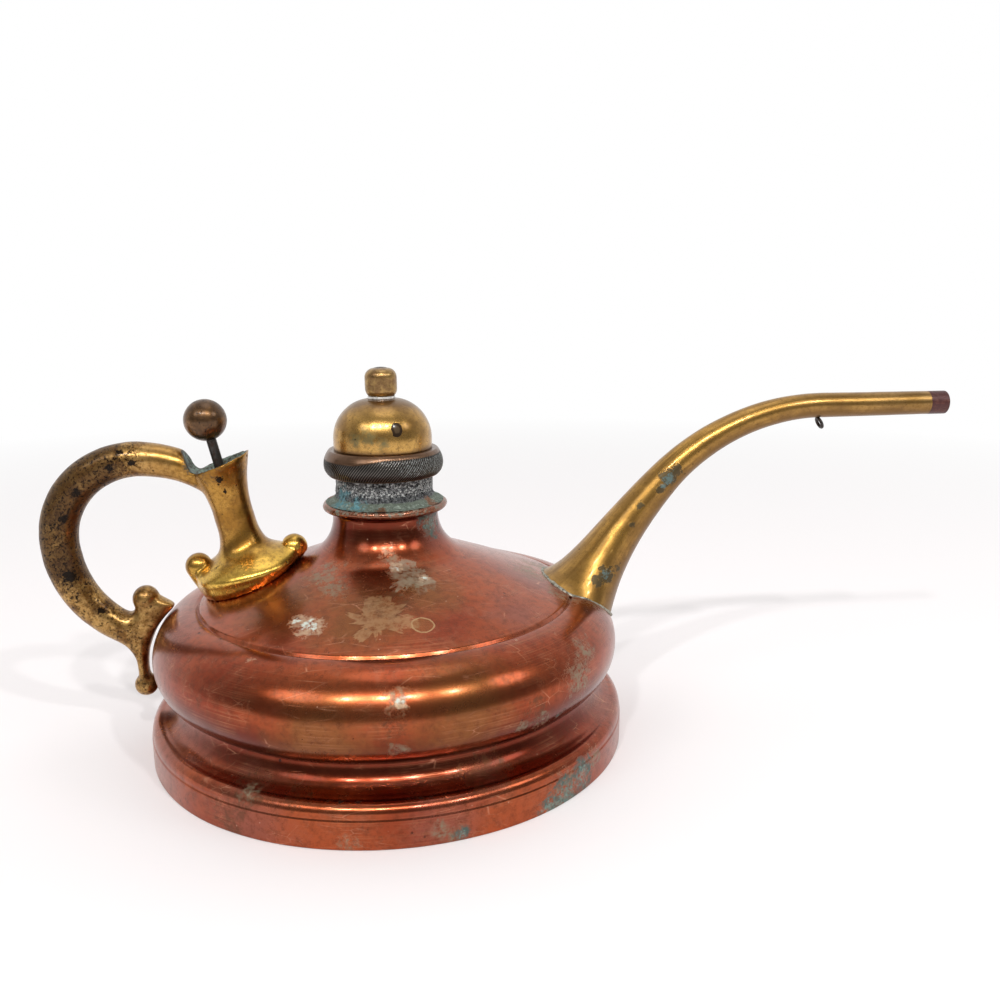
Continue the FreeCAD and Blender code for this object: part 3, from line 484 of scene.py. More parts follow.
def ring_lines(tree, place):
    lines = spinning(tree, place, 0.22, 0.46, 0.66)
    worn_off = patches(tree, place, 14.0, 0.46, 0.66, cover=0.30)
    return add(tree, "Math", {0: lines, 1: worn_off}, operation="MULTIPLY")


red_clouds = mask(patches, 30.0, 0.42, 0.62, 5.0, 0.55, 0.3)
# Painted shade and painted dark reflection: dark red laid on the neck, the belly's underside and the
# foot's cove.
painted_shade_red = mask(stains, "deep", 9.0, 0.30, 1.00, 0.8, 0.9)
# Partly a real rose film and partly a painted reflection: pale rose where the white floor and wall
# glance off the left and right edges of belly and foot.
rose_film_and_reflection = mask(stains, "rose", 6.0, 0.10, 0.80, 1.1, 0.75)
brown_patina = mask(stains, "brown", 6.0, 0.10, 0.70, 1.1, 0.85)
fine_tarnish = mask(patches, 1.9, 0.46, 0.72, 6.0, 0.76, cover=0.7)
dark_specks = mask(pits, 2.7, 0.44, 0.22)
nicks = mask(pits, 2.6, 0.26, 0.34)
long_scratches = mask(scratches, (0.3, 0.5, 0.9), 16.0, 3.2, 11.0)
cross_scratches = mask(scratches, (0.9, -0.4, -0.7), 11.0, 2.4, 7.0)
blots = mask(stains, "blot", 2.6, 0.20, 0.46, 2.0, 0.62, 2.6)
rose_mottle = mask(patches, 3.4, 0.50, 0.70, 7.0, 0.7, 0.6, cover=0.6)
lip_film = mask(stains, "lip", 1.8, 0.30, 0.70, 1.0, 0.85)
# Near-black marks in a line along the crease between bead and cove, at the front only.
scuff = mask(stains, "scuff", 1.1, 0.34, 0.46, 1.3, 0.9)
lip_green = mask(stains, "lip", 1.6, 0.96, 1.20, 2.0, 0.8, 0.8)
green_stains = mask(stains, "green", 2.6, 0.30, 0.75, 2.0, 0.80, 1.2)
verdigris = mask(stains, "teal", 2.2, 0.12, 0.36, 1.8, 0.95, 2.4)
verdigris_pale = mask(stains, "teal", 0.9, 0.45, 0.85, 2.4, 0.8, 0.6)
tan_splash = mask(splash, (-2.6, -36.4, 41.0), 9.5, 0.65)
small_splash = mask(splash, (4.5, -22.0, 46.2), 7.0, 0.75)
pale_splash = mask(stains, "pale", 2.4, 0.24, 0.44, 1.6, 0.85, 1.6)
splash_core = mask(stains, "pale", 1.4, 0.66, 0.90, 2.2, 0.9)
drop_film = mask(drop, (7.3, -37.6, 40.4), 2.7, 5.4, 0.9, cover=0.35)
drop_edge = mask(drop, (7.3, -37.6, 40.4), 2.7, 0.5, 0.9, cover=0.8)

# Tarnished copper keeps a warm mirror under a thin brown film and a trace of old wax, so it is all
# metal and half sharp; only the verdigris and dried spills on it are dull and mineral.
spun_copper = finish("tarnished_spun_copper", [
    (None, "#ad5530", 0.22, 1.0),
    (red_clouds, "#903c21", 0.21, 1.0),
    (rose_mottle, "#a25d42", 0.30, 1.0),
    # Painted shade: dark red on the neck, the belly's underside and the cove.
    (painted_shade_red, "#65200d", 0.20, 1.0),
    # Partly painted reflection: pale rose at the left and right edges of belly and foot.
    (rose_film_and_reflection, "#965849", 0.32, 1.0),
    (brown_patina, "#87542c", 0.26, 1.0),
    (fine_tarnish, "#5f301a", 0.32, 1.0),
    (ring_lines, "#c98a63", 0.28, 1.0),
    (long_scratches, "#dc9c7a", 0.28, 1.0),
    (cross_scratches, "#d39272", 0.28, 1.0),
    (nicks, "#efc3a5", 0.32, 1.0),
    (dark_specks, "#2a1812", 0.50, 0.9),
    (blots, "#5e3d26", 0.40, 0.95),
    (green_stains, "#8a7f66", 0.52, 0.5),
    (verdigris, "#3f5750", 0.66, 0.2),
    (verdigris_pale, "#7f9a8f", 0.72, 0.0),
    (tan_splash, "#b88d63", 0.38, 0.9),
    (small_splash, "#a3927a", 0.46, 0.7),
    (drop_film, "#97683a", 0.34, 1.0),
    (drop_edge, "#bf9c70", 0.44, 0.8),
    (pale_splash, "#c9a98a", 0.50, 0.6),
    (splash_core, "#cdd8cd", 0.70, 0.0),
    (lip_film, "#935f47", 0.28, 1.0),
    (lip_green, "#6c8577", 0.60, 0.1),
    (scuff, "#1f1713", 0.50, 0.8),
], [(ring_lines, 0.002), (long_scratches, -0.010), (cross_scratches, -0.008), (fine_tarnish, -0.004),
    (dark_specks, -0.05), (green_stains, 0.04), (verdigris, 0.05), (verdigris_pale, 0.04),
    (pale_splash, 0.03), (lip_green, 0.05)], 0.24)

can_foot, hem_out = waist_height + waist_lap, waist_radius - shell_wall - waist_lap
hem_in = hem_out - shell_wall
groove_low, groove_high = groove_height - groove_depth, groove_height + groove_depth
inner_neck, inner_belly = neck_radius - shell_wall, belly_radius - shell_wall
at_belly, at_flare = dict(level=belly_height), dict(level=flare_height)
can_outline = profile(
    (hem_in, waist_height - hem_drop), (hem_out, waist_height - hem_drop), (hem_out, can_foot),
    (belly_foot, can_foot), (belly_radius, belly_height, at_belly),
    (groove_radius + groove_half, groove_height, dict(level=belly_height, count=48)),
    (groove_radius, groove_low), (groove_radius - groove_half, groove_high),
    (flare_end, flare_end_height), (neck_radius, flare_height, at_flare), (neck_radius, neck_top),
    (lip_radius, lip_height - lip_round, dict(level=neck_top)),
    (lip_radius + lip_round, lip_height, dict(level=lip_height)),
    (lip_radius, lip_height + lip_round, dict(level=lip_height)),
    (inner_neck, neck_top, dict(level=neck_top)), (inner_neck, flare_height),
    (flare_end, flare_end_height - shell_wall, at_flare), (groove_radius, groove_low - shell_wall),
    (groove_radius + shell_wall, groove_height - shell_wall), (inner_belly, belly_height, at_belly),
    (belly_foot, can_foot + shell_wall, at_belly), (hem_in, can_foot + shell_wall))

can_grid = turned(can_outline, 0.30, 300, 320)
can_up = can_grid[..., 2]
can_dents = 0.12 * lumps(can_grid, 17.0, 1) + 0.035 * lumps(can_grid, 6.0, 2)
can_dents += 0.13 * lumps(can_grid, 3.4, 13) * ramp(can_up, *lip_dented)
press(can_grid, can_dents)
# The painted shade layer: 1 on the neck and under the belly, each rising over 5 and 7 mm.
can_painted_shade = ramp(can_up, *neck_shade) + ramp(can_up, *cove_shade)
can_shell = surface("can_shell", can_grid, deep=can_painted_shade, lip=ramp(can_up, *lip_stained))
# Rose spots: a real film, and a painted reflection of the white floor and wall at the belly's left and
# right edges.
soak(can_shell, "rose", [
    (-52, -22, 30, 14), (-57, 0, 27, 14), (54, -18, 30, 10), (30, -30, 41, 12), (36, -10, 42, 12),
    (0, 50, 34, 24), (12, -9, 54, 7),
])
soak(can_shell, "brown", [
    (-6, -34, 41.5, 17), (-24, -24, 42.5, 14), (8, -26, 44.5, 13), (14, -52, 27, 16),
    (-14, -55, 22, 16), (20, 40, 38, 22),
])
soak(can_shell, "blot", [
    (0, -31, 43, 6), (0.7, -58, 26, 4), (1, -56, 31.5, 4), (-40, -40, 27, 2.4), (30, -49, 24, 4),
    (44, 10, 38, 9), (-20, 50, 30, 9),
])
soak(can_shell, "green", [
    (-14.8, -16.6, 46.6, 8), (-12, -23, 44.8, 5.5), (2.9, -19.1, 47.8, 6), (6, -23.5, 45.8, 7),
    (0.5, -16, 50, 5), (42, -39.9, 27, 8), (45, -35, 32, 6), (1.3, -58, 21, 3.6), (0.9, -56.2, 31, 4),
    (37, -3, 41, 10), (40, 8, 40, 8), (44, -13, 37.5, 8), (51, -12, 34, 7), (-22, 30, 42, 9),
    (20, 52, 24, 7), (-35, 44, 25, 6), (33, -48, 20, 4.5), (28, -51, 21, 3),
])
soak(can_shell, "pale", [
    (-17.6, -34.2, 40.2, 5.4), (-20.5, -31.5, 40.6, 3), (2, -18.5, 48, 2.6), (8.5, -21.5, 46.2, 2.6),
    (28, -40, 38, 1.8), (-30, -41.5, 36.6, 1.8), (1.5, -56.5, 31, 2.2), (15, 30, 43, 4.5),
])
soak(can_shell, "teal", [
    (11, -7.4, 57.2, 6), (12.8, -7.5, 60, 3.8), (-12, 6, 59, 4.5), (5, 12.5, 58, 4.5),
    (38, -45, 20, 2.6),
])
dress(can_shell, spun_copper, "spun_copper", "can", "body_shell")


# The foot is spun from a second copper sheet: a cove, a rolled bead and an upright band, hemmed
# inwards on the table. A flat copper disc inside it closes the can.
base_radius = 60.0
cove_foot, cove_foot_height = 56.4, 10.3
bead_radius, bead_middle = 2.6, 7.4
bead_crown = base_radius - 0.2 - bead_radius
band_height, hem_width = 6.5, 2.4
# foot_shade places painted shade: a darker red over the cove under the belly.
foot_shade = (9.6, 2.4)

at_bead, at_waist = dict(plumb=bead_crown), dict(level=waist_height)
foot_outline = profile(
    (base_radius - hem_width, 0.0), (base_radius, 0.0), (base_radius, band_height),
    (base_radius - 0.25, band_height + 0.3), (base_radius - 0.2, bead_middle),
    (bead_crown, bead_middle + bead_radius, at_bead), (cove_foot, cove_foot_height),
    (waist_radius, waist_height, at_waist), (waist_radius - shell_wall, waist_height),
    (cove_foot - shell_wall, cove_foot_height - shell_wall, at_waist),
    (bead_crown, bead_middle + bead_radius - shell_wall), (base_radius - 1.2, bead_middle, at_bead),
    (base_radius - 1.2, shell_wall), (base_radius - hem_width, shell_wall))
foot_grid = turned(foot_outline, 0.22, 170, 288)
press(foot_grid, 0.06 * lumps(foot_grid, 15.0, 3) + 0.02 * lumps(foot_grid, 5.0, 4) - 0.08)
foot_grid[..., 2] = np.maximum(foot_grid[..., 2], 0.0)
foot_shell = surface("foot_shell", foot_grid, deep=ramp(foot_grid[..., 2], *foot_shade))
# Rose spots: a real film, and a painted reflection of the white floor and wall at the foot's left and
# right edges.
soak(foot_shell, "rose", [
    (-52, -28, 8, 18), (-30, -50, 4, 14), (55, -20, 6, 16), (10, -57, 3, 12), (20, -52, 10.5, 7),
    (-30, 50, 6, 20),
])
soak(foot_shell, "green", [
    (8.9, -59.3, 3.4, 3.6), (12, -58.8, 2, 3.4), (37.6, -46.6, 3, 8), (46, -38, 6, 5),
    (-30.4, -49.2, 9.9, 4), (-10, -59, 2, 3.4), (-50, 32, 3, 8), (20, 56, 4, 7),
])
# A line of near-black marks along the crease between bead and cove, at the front only.
soak(foot_shell, "scuff", [
    (-14, -56, 9.9, 0.9), (-11, -56.6, 9.8, 1), (-7.6, -57.2, 9.8, 0.8), (2, -57.6, 9.9, 0.9),
    (4.5, -57.4, 9.9, 1.1), (7, -57.2, 9.8, 1),
])
soak(foot_shell, "teal", [
    (37.6, -46.6, 1.5, 6.5), (42.5, -42.3, 4, 5.5), (33.5, -49.7, 1, 4), (13.5, -58.4, 1.5, 2.4),
    (-56, 20, 2, 5),
])
soak(foot_shell, "blot", [
    (17, -52.2, 11.4, 5.5), (22, -50, 11.6, 5), (-30.4, -49.2, 10.5, 6), (-20, -53.6, 10, 4),
    (-35, -48.8, 4, 6), (30, 46, 11, 9),
])
dress(foot_shell, spun_copper, "spun_copper", "can", "base_shell")

plate_floor, plate_top, plate_radius = 1.0, 2.0, base_radius - 1.25
plate_outline = [(0.0, plate_floor), (plate_radius, plate_floor), (plate_radius, plate_top),
                 (0.0, plate_top)]
base_plate = surface("base_plate", turned(plate_outline, 0.2, 60, 144, closed=False), closed=False)
for layer in ("green", "brown"):
    soak(base_plate, layer, [(-20.0, 10.0, 1.0, 14.0), (24.0, -22.0, 1.0, 9.0)])
dress(base_plate, spun_copper, "spun_copper", "can", "bottom_plate")


# The filler collar is cast white metal, screwed and soldered on the neck's flange. Its sloping foot
# is crusted with blue-green verdigris and its bare band is rough with grey and white salts.
collar_floor, collar_spigot, spigot_radius = 55.92, 5.05, 12.15
thread_radius, collar_bore = 12.0, 10.4
collar_foot_radius, collar_foot_rise, collar_top = 14.8, 2.9, 15.75
crust_low, crust_high, crust_out = (60.5, 1.0), (68.0, -1.0), (11.4, 0.4)
band_low, slope_out = (62.8, 1.0), (12.25, 0.5)

crust = mask(patches, 0.9, 0.40, 0.62, 5.0, 0.75)
salt = mask(stains, "band", 0.55, 0.98, 1.12, 2.2, 0.9)
dark_gaps = mask(patches, 0.62, 0.50, 0.58, 4.0, 0.8, 0.4)
slope_film = mask(stains, "slope", 2.0, 0.20, 0.46, 1.0, 0.95)
slope_streaks = mask(stains, "slope", 0.9, 0.98, 1.20, 1.8, 0.8)
slope_blue = mask(stains, "blue", 1.3, 0.25, 0.60, 2.0, 0.9, 1.2)
slope_copper = mask(stains, "copper", 1.2, 0.40, 0.58, 1.4, 0.9)

# Corroded white metal is a dull grey mineral skin with bright salt grains and black gaps.
corroded_metal = finish("corroded_white_metal", [
    (None, "#8a8c8c", 0.50, 0.85),
    (crust, "#55575a", 0.58, 0.8),
    (salt, "#eceeeb", 0.50, 0.1),
    (dark_gaps, "#161718", 0.70, 0.7),
    (slope_film, "#7b8677", 0.60, 0.25),
    (slope_streaks, "#b9c6b8", 0.70, 0.0),
    (slope_blue, "#69a7b2", 0.66, 0.0),
    (slope_copper, "#9c6a4c", 0.36, 0.95),
], [(crust, 0.12), (salt, 0.14), (dark_gaps, -0.16), (slope_film, 0.06), (slope_streaks, 0.08)])

slope_top = collar_spigot + collar_foot_rise
collar_outline = profile(
    (collar_bore, 0.0), (spigot_radius, 0.0), (spigot_radius, collar_spigot),
    (collar_foot_radius, collar_spigot), (thread_radius, slope_top, dict(level=slope_top)),
    (thread_radius, collar_top), (collar_bore, collar_top))
collar_grid = turned(collar_outline, 0.16, 150, 300, collar_floor)
collar_out, collar_up = np.hypot(collar_grid[..., 0], collar_grid[..., 1]), collar_grid[..., 2]
crusted = ramp(collar_up, *crust_low) * ramp(collar_up, *crust_high) * ramp(collar_out, *crust_out)
crust_height = 0.13 * lumps(collar_grid, 0.7, 5) + 0.15 * lumps(collar_grid, 2.2, 6) + 0.06
press(collar_grid, crusted * crust_height)
neck_collar = surface("filler_collar", collar_grid, sharp=60.0, band=ramp(collar_up, *band_low),
                      slope=ramp(collar_out, *slope_out))
soak(neck_collar, "blue", [(-11.5, -8, 62.5, 5.5), (-7, -12, 62, 3.5), (12, 7, 62, 5)])
soak(neck_collar, "copper", [
    (12, -8, 62, 3.6), (-1, -14.5, 61, 2.6), (-13, 4, 61.5, 3), (6, 12.5, 61.5, 3),
])
dress(neck_collar, corroded_metal, "grey_metal", "can", "neck_collar")


# The cap's ring is turned and its lower part rolled with a slanting knurl for the fingers; 134
# ridges about 0.7 mm apart. The plain top shows the metal's coppery brown.
ring_floor, ring_top, ring_roof = 67.57, 6.5, 5.7
ring_edge, ring_widest, widest_height = 13.5, 14.9, 2.8
ring_thread, ring_hole = 12.06, 8.5
at_widest = dict(level=widest_height)
ring_outline = profile(
    (ring_thread, 0.0), (ring_edge, 0.0), (ring_widest, widest_height, at_widest),
    (ring_edge, ring_top, at_widest), (ring_hole, ring_top), (ring_hole, ring_roof),
    (ring_thread, ring_roof))
knurl_count, knurl_depth, knurl_slant = 134, 0.26, 7.5
knurl_low, knurl_out, knurl_fade, knurl_rise = (0.15, 0.3), (12.9, 0.3), -0.3, (-7.0, 7.0)
salt_side, salt_front, salt_low, salt_high = (-3.0, 9.0), (3.0, -4.0), (0.5, 1.0), (6.2, -1.2)

knurl_ground = mask(read, "knurl", 0.2, 0.8, 1.0)
# Valleys: near black, as dirt and as painted shade.
valley_dirt_and_shade = mask(read, "valley", 0.25, 0.80, 1.0)
# Crests: pale, as rubbed metal and as painted glints.
crest_rub_and_glint = mask(read, "crest", 0.55, 0.95, 0.85)
ring_salt = mask(stains, "salty", 0.5, 0.86, 1.10, 2.8, 0.8, 0.5)

# Old plated brass is grey black where the knurl holds dirt and brown where a thumb has rubbed it; the
# knurl's valleys add painted shade and its crests painted glints.
knurled_metal = finish("knurled_plated_brass", [
    (None, "#755843", 0.28, 1.0),
    (fine_tarnish, "#54402f", 0.42, 1.0),
    (knurl_ground, "#443f3b", 0.36, 1.0),
    (crest_rub_and_glint, "#8f8a82", 0.28, 1.0),
    (ring_salt, "#a9aca8", 0.55, 0.5),
    (valley_dirt_and_shade, "#0b0a09", 0.60, 0.9),
], [(fine_tarnish, 0.02), (ring_salt, 0.06)], 0.20)

ring_grid = turned(ring_outline, 0.14, 84, 7 * knurl_count, ring_floor)
ring_turn = np.arctan2(ring_grid[..., 1], ring_grid[..., 0])
ring_out = np.hypot(ring_grid[..., 0], ring_grid[..., 1])
ring_up = ring_grid[..., 2] - ring_floor
knurl_top = 4.5 + 1.2 * ramp(ring_grid[..., 0], *knurl_rise)
knurled = ramp(ring_up, knurl_top, knurl_fade) * ramp(ring_up, *knurl_low) * ramp(ring_out, *knurl_out)
ridge = np.abs(((ring_turn * knurl_count - ring_up * knurl_slant) / math.pi) % 2.0 - 1.0)
worn_knurl = 0.75 + 0.25 * lumps(ring_grid, 3.0, 7)
press(ring_grid, knurled * (0.04 * lumps(ring_grid, 1.1, 8) - knurl_depth * (1.0 - ridge) * worn_knurl))
salty = ramp(ring_grid[..., 0], *salt_side) * ramp(ring_grid[..., 1], *salt_front)
salty *= ramp(ring_up, *salt_low) * ramp(ring_up, *salt_high)
knurled_ring = surface("knurled_ring", ring_grid, sharp=50.0, knurl=knurled, salty=salty,
                       valley=knurled * (1.0 - ridge), crest=knurled * ridge)
dress(knurled_ring, knurled_metal, "grey_metal", "cap", "cap_ring")


# The cap's dome is spun brass, gone golden brown, with one dark oval spot. It stands on the ring.
dome_floor = ring_floor + ring_top
dome_radius, dome_straight, dome_arc, dome_wall, dome_hole = 12.2, 2.7, 9.7, 0.8, 1.55
dome_top = dome_straight + dome_arc
spot_middle, spot_radius, spot_rim, spot_tall = (3.3, -11.0, 80.0), 1.45, 0.8, 1.35
film_above, film_below = (81.5, 4.0), (75.8, -1.5)

brass_clouds = mask(patches, 7.0, 0.42, 0.66, 5.0, 0.6, 0.5, cover=0.9)
brass_specks = mask(pits, 1.7, 0.34, 0.40)
brass_grain = mask(patches, 0.8, 0.50, 0.74, 4.0, 0.7, cover=0.75)
dome_brown = mask(stains, "brown", 4.0, 0.30, 1.00, 1.1, 0.85)
green_film = mask(stains, "green", 1.1, 0.45, 0.95, 1.8, 0.75)
dark_spot = mask(drop, spot_middle, spot_radius, 2.0 * spot_radius, 0.8, spot_tall)
spot_edge = mask(drop, spot_middle, spot_radius, spot_rim, 0.8, spot_tall)

# Aged spun brass is a warm satin mirror under a brown film, speckled where the film has lifted.
spun_brass = finish("aged_spun_brass", [
    (None, "#cda057", 0.25, 1.0),
    (brass_clouds, "#8f6a36", 0.29, 1.0),
    (dome_brown, "#735536", 0.36, 1.0),
    (brass_grain, "#72542a", 0.36, 1.0),
    (green_film, "#6b6c4c", 0.46, 0.85),
    (brass_specks, "#3d2a16", 0.50, 0.95),
    (dark_spot, "#493822", 0.55, 0.7),
    (spot_edge, "#2f2113", 0.50, 0.9),
], [(brass_grain, -0.010), (brass_specks, -0.03), (dark_spot, 0.006)], 0.30)

dome_outline = profile(
    (dome_radius - dome_wall, 0.0), (dome_radius, 0.0), (dome_radius, dome_straight),
    (dome_radius - dome_arc, dome_top, dict(level=dome_straight, count=40)), (dome_hole, dome_top),
    (dome_hole, dome_top - dome_wall), (dome_radius - dome_arc, dome_top - dome_wall),
    (dome_radius - dome_wall, dome_straight, dict(level=dome_straight)))
dome_grid = turned(dome_outline, 0.16, 150, 200, dome_floor)
press(dome_grid, 0.07 * lumps(dome_grid, 5.0, 9) + 0.02 * lumps(dome_grid, 1.8, 19))
dome_film = ramp(dome_grid[..., 2], *film_above) + ramp(dome_grid[..., 2], *film_below)
dome = surface("spun_dome", dome_grid, brown=dome_film)
soak(dome, "green", [(-3.5, -11.6, 78.3, 5), (-6.5, -10, 77.8, 4), (0, -12.2, 77, 3.5), (6, 10, 79, 5)])
dress(dome, spun_brass, "spun_brass", "cap", "cap_dome")


# A bright tinned washer lies on the dome under the finial, a turned brass knob with a dark crown.
crown_height = dome_floor + dome_top
washer_radius, washer_thick = 3.4, 0.6
stem_radius, stem_length, knob_seat, knob_radius = 1.5, 4.6, 3.1, 3.95
knob_low, knob_high, knob_edge, knob_tip, knob_top_radius = 6.3, 9.2, 11.4, 11.7, 1.9

tin_grey = mask(patches, 1.2, 0.52, 0.66, 4.0, 0.7, cover=0.7)

# Tinned brass stays nearly white, with grey worn patches.
bright_tin = finish("bright_tin", [
    (None, "#f0eeea", 0.30, 0.8),
    (tin_grey, "#aaa69d", 0.42, 0.9),
], [(tin_grey, -0.02)])
washer_outline = [(dome_hole, 0.0), (washer_radius, 0.0), (washer_radius, washer_thick),
                  (dome_hole, washer_thick)]
washer = surface("bright_washer", turned(washer_outline, 0.10, 40, 96, crown_height))
dress(washer, bright_tin, "bright_metal", "cap", "finial_washer")

knob_brown = mask(patches, 2.4, 0.42, 0.60, 5.0, 0.65, cover=0.9)
knob_crown = mask(stains, "crown", 0.8, 0.25, 0.50, 0.6, 0.9)

# Turned brass that fingers have browned, nearly black on top.
knob_brass = finish("browned_turned_brass", [
    (None, "#b18f57", 0.30, 1.0),
    (knob_brown, "#866540", 0.38, 1.0),
    (brass_grain, "#5e4526", 0.44, 1.0),
    (knob_crown, "#33261a", 0.46, 0.9),
], [(knob_brown, -0.02), (brass_grain, -0.012)], 0.30)
stem_foot = crown_height + washer_thick - stem_length
finial_outline = profile(
    (0.0, 0.0), (stem_radius, 0.0), (stem_radius, stem_length), (knob_seat, stem_length),
    (knob_radius, knob_low, dict(level=knob_low)), (knob_radius, knob_high),
    (knob_top_radius, knob_edge, dict(level=knob_high)), (0.0, knob_tip, dict(plumb=0.0, count=8)))
finial_grid = turned(finial_outline, 0.20, 70, 120, stem_foot, closed=False)
finial_grid[..., :2] *= (1.0 + 0.012 * lumps(finial_grid, 2.2, 10))[..., None]
finial = surface("finial_knob", finial_grid, closed=False)
soak(finial, "crown", [(0, 0, 94.4, 2.6)])
dress(finial, knob_brass, "spun_brass", "cap", "finial")


# The spout is one brass casting, soldered on the shoulder: a trumpet root with a toe towards the
# neck, drawn out into a slim tube that bends level. It is filed smooth and browned by handling.
spout_end, spout_height = 143.6, 82.1
spout_runs = [(29.3, 0.0), (47.249, 47.0), (33.127, 13.0), (16.0, 0.0)]
spout_reach = 118.676
tip_radius, flare_gain, flare_length = 3.0, 7.4, 24.0
toe_gain, toe_length, side_gain = 4.4, 4.0, 4.6
spout_wall = 0.9


def path_points(start, heading_now, runs, count):
    """Points and headings of a path of straight and round runs, each a length in mm and a turn.

    The heading changes evenly over each run, and the place is its direction summed along the path."""
    knots = np.r_[0.0, np.cumsum([run[0] for run in runs])]
    bends = np.radians(heading_now + np.r_[0.0, np.cumsum([run[1] for run in runs])])
    distance = np.linspace(0.0, knots[-1], count)
    angle = np.interp(distance, knots, bends)
    half_step = (distance[1] - distance[0]) / 2.0
    east, north = np.cos(angle), np.sin(angle)
    x = start[0] + np.r_[0.0, np.cumsum(half_step * (east[1:] + east[:-1]))]
    z = start[1] + np.r_[0.0, np.cumsum(half_step * (north[1:] + north[:-1]))]
    return distance, x, z, angle


spout_path = path_points((spout_end, spout_height), 180.0, spout_runs, 1200)


def spout_skin(distance, around, inset):
    """Points of the spout's skin at distances back from its cast end and angles round it.

    The radius grows as an exponential towards the root. A shorter one adds the toe on the upper side,
    and the sides spread with the square of the flare."""
    run, path_x, path_z, path_angle = spout_path
    x, z, angle = (np.interp(distance, run, row) for row in (path_x, path_z, path_angle))
    back = np.minimum(distance - spout_reach, 0.0)
    flare = np.exp(back / flare_length)
    toe = toe_gain * np.exp(back / toe_length)
    high = tip_radius + flare_gain * flare + toe - inset
    wide = tip_radius + flare_gain * flare + toe + side_gain * flare ** 2 - inset
    x = x + toe * np.sin(angle)
    z = z - toe * np.cos(angle)
    rise = high * np.cos(around)
    return np.stack([x - np.sin(angle) * rise, wide * np.sin(around), z + np.cos(angle) * rise], -1)


shoulder_top = [(flare_end, flare_end_height), (groove_radius - groove_half, groove_high)]
shoulder_top += bow((groove_radius + groove_half, groove_height), (belly_radius, belly_height),
                    level=belly_height, count=40)
shoulder_top = np.array(shoulder_top)


def above_shoulder(points):
    """Height of points over the can's shoulder at the same radius, in mm."""
    radius = np.hypot(points[..., 0], points[..., 1])
    return points[..., 2] - np.interp(radius, shoulder_top[:, 0], shoulder_top[:, 1])


sides = np.linspace(0.0, 2.0 * math.pi, 128, endpoint=False)
trial = np.linspace(90.0, spout_reach + 14.0, 500)[:, None] + 0.0 * sides
buried = above_shoulder(spout_skin(trial, sides[None, :] + 0.0 * trial, 0.0)) < 0.0
first_in = np.where(buried.any(0), buried.argmax(0), len(trial) - 1)
contact = trial[first_in, np.arange(len(sides))]
share = np.sin(0.5 * math.pi * np.linspace(0.0, 1.0, 150))[:, None]
spout_run, spout_around = share * contact, sides[None, :] + 0.0 * share
outer_skin = spout_skin(spout_run, spout_around, 0.0)
inner_skin = spout_skin(spout_run[::-1], spout_around, spout_wall)
spout_grid = np.concatenate([outer_skin, inner_skin])
press(spout_grid, 0.05 * lumps(spout_grid, 9.0, 11) + 0.02 * lumps(spout_grid, 2.5, 12))
outer_local = np.stack([spout_run, tip_radius * np.sin(spout_around),
                        tip_radius * np.cos(spout_around)], -1)
spout_local = np.concatenate([outer_local, outer_local[::-1]])

spout_brown = mask(patches, 12.0, 0.42, 0.62, 6.0, 0.62, 0.7, cover=0.8)


def spout_drawn(tree, place):
    """Mask of file marks that run along the spout: noise over distance and the place round it."""
    local = add(tree, "Attribute", {}, attribute_name="local")
    drawn = add(tree, "VectorMath", {0: local.outputs["Vector"], 1: (0.06, 1.5, 1.5)},
                operation="MULTIPLY")
    lines = add(tree, "TexNoise", {"Vector": drawn, "Scale": 1.0, "Detail": 4.0, "Roughness": 0.6})
    return add(tree, "MapRange", {0: lines, 1: 0.48, 2: 0.70, 4: 0.75})


spout_top = mask(stains, "upper", 5.0, 0.24, 0.80, 1.1, 0.85)
spout_pale = mask(stains, "outer", 9.0, 0.2, 0.9, 0.6, 0.7)
spout_dirt = mask(patches, 0.9, 0.57, 0.64, 8.0, 0.80, 0.4, cover=0.65)
spout_dark = mask(stains, "dark", 1.3, 0.30, 0.46, 2.0, 0.9)
spout_teal = mask(stains, "teal", 0.9, 0.45, 0.66, 2.0, 0.8)

# Filed cast brass is golden where it is rubbed and brown olive where it is not.
spout_brass = finish("filed_cast_brass", [
    (None, "#c6974c", 0.26, 1.0),
    (spout_pale, "#ae8b59", 0.31, 1.0),
    (spout_brown, "#936e38", 0.34, 1.0),
    (spout_drawn, "#7e5d2c", 0.38, 1.0),
    (spout_top, "#735531", 0.40, 1.0),
    (brass_grain, "#7d5d2b", 0.40, 1.0),
    (spout_dirt, "#563d1c", 0.42, 1.0),
    (brass_specks, "#3a2910", 0.50, 0.95),
    (spout_dark, "#4d4430", 0.50, 0.85),
    (spout_teal, "#5f7875", 0.66, 0.3),
], [(spout_drawn, -0.010), (brass_grain, -0.008), (brass_specks, -0.03), (spout_dark, 0.03),
    (spout_teal, 0.04)], 0.20)
spout = surface("cast_spout", spout_grid, local=spout_local,
                upper=np.clip(0.38 + 0.80 * spout_local[..., 2] / tip_radius, 0.0, 1.0),
                outer=ramp(spout_local[..., 0], 70.0, -70.0))
soak(spout, "dark", [
    (72.2, -4.2, 64.8, 3.3), (74.4, -4, 66.8, 2.4), (70.1, -4.5, 61.8, 1.8), (55.6, -9.5, 41.2, 3.8),
    (53, -10, 40, 2.4), (59.1, -8, 42.2, 2), (64.8, -5, 58.1, 1.5), (62.6, -6, 53.2, 1.4),
    (50, -11, 42, 1.6), (57, -8, 47, 1.2),
])
soak(spout, "teal", [(72.6, -4.3, 65, 2.8), (55.8, -9.6, 41.4, 3), (71, -4.6, 63, 1.8)])
dress(spout, spout_brass, "cast_brass", "can", "spout")

# The tip is lined with a short copper ferrule under a dull maroon lacquer.
ferrule_start, ferrule_spigot, ferrule_length = 139.6, 4.0, 5.0
ferrule_radius, ferrule_bore, spigot_skin = 3.05, 1.6, 2.05

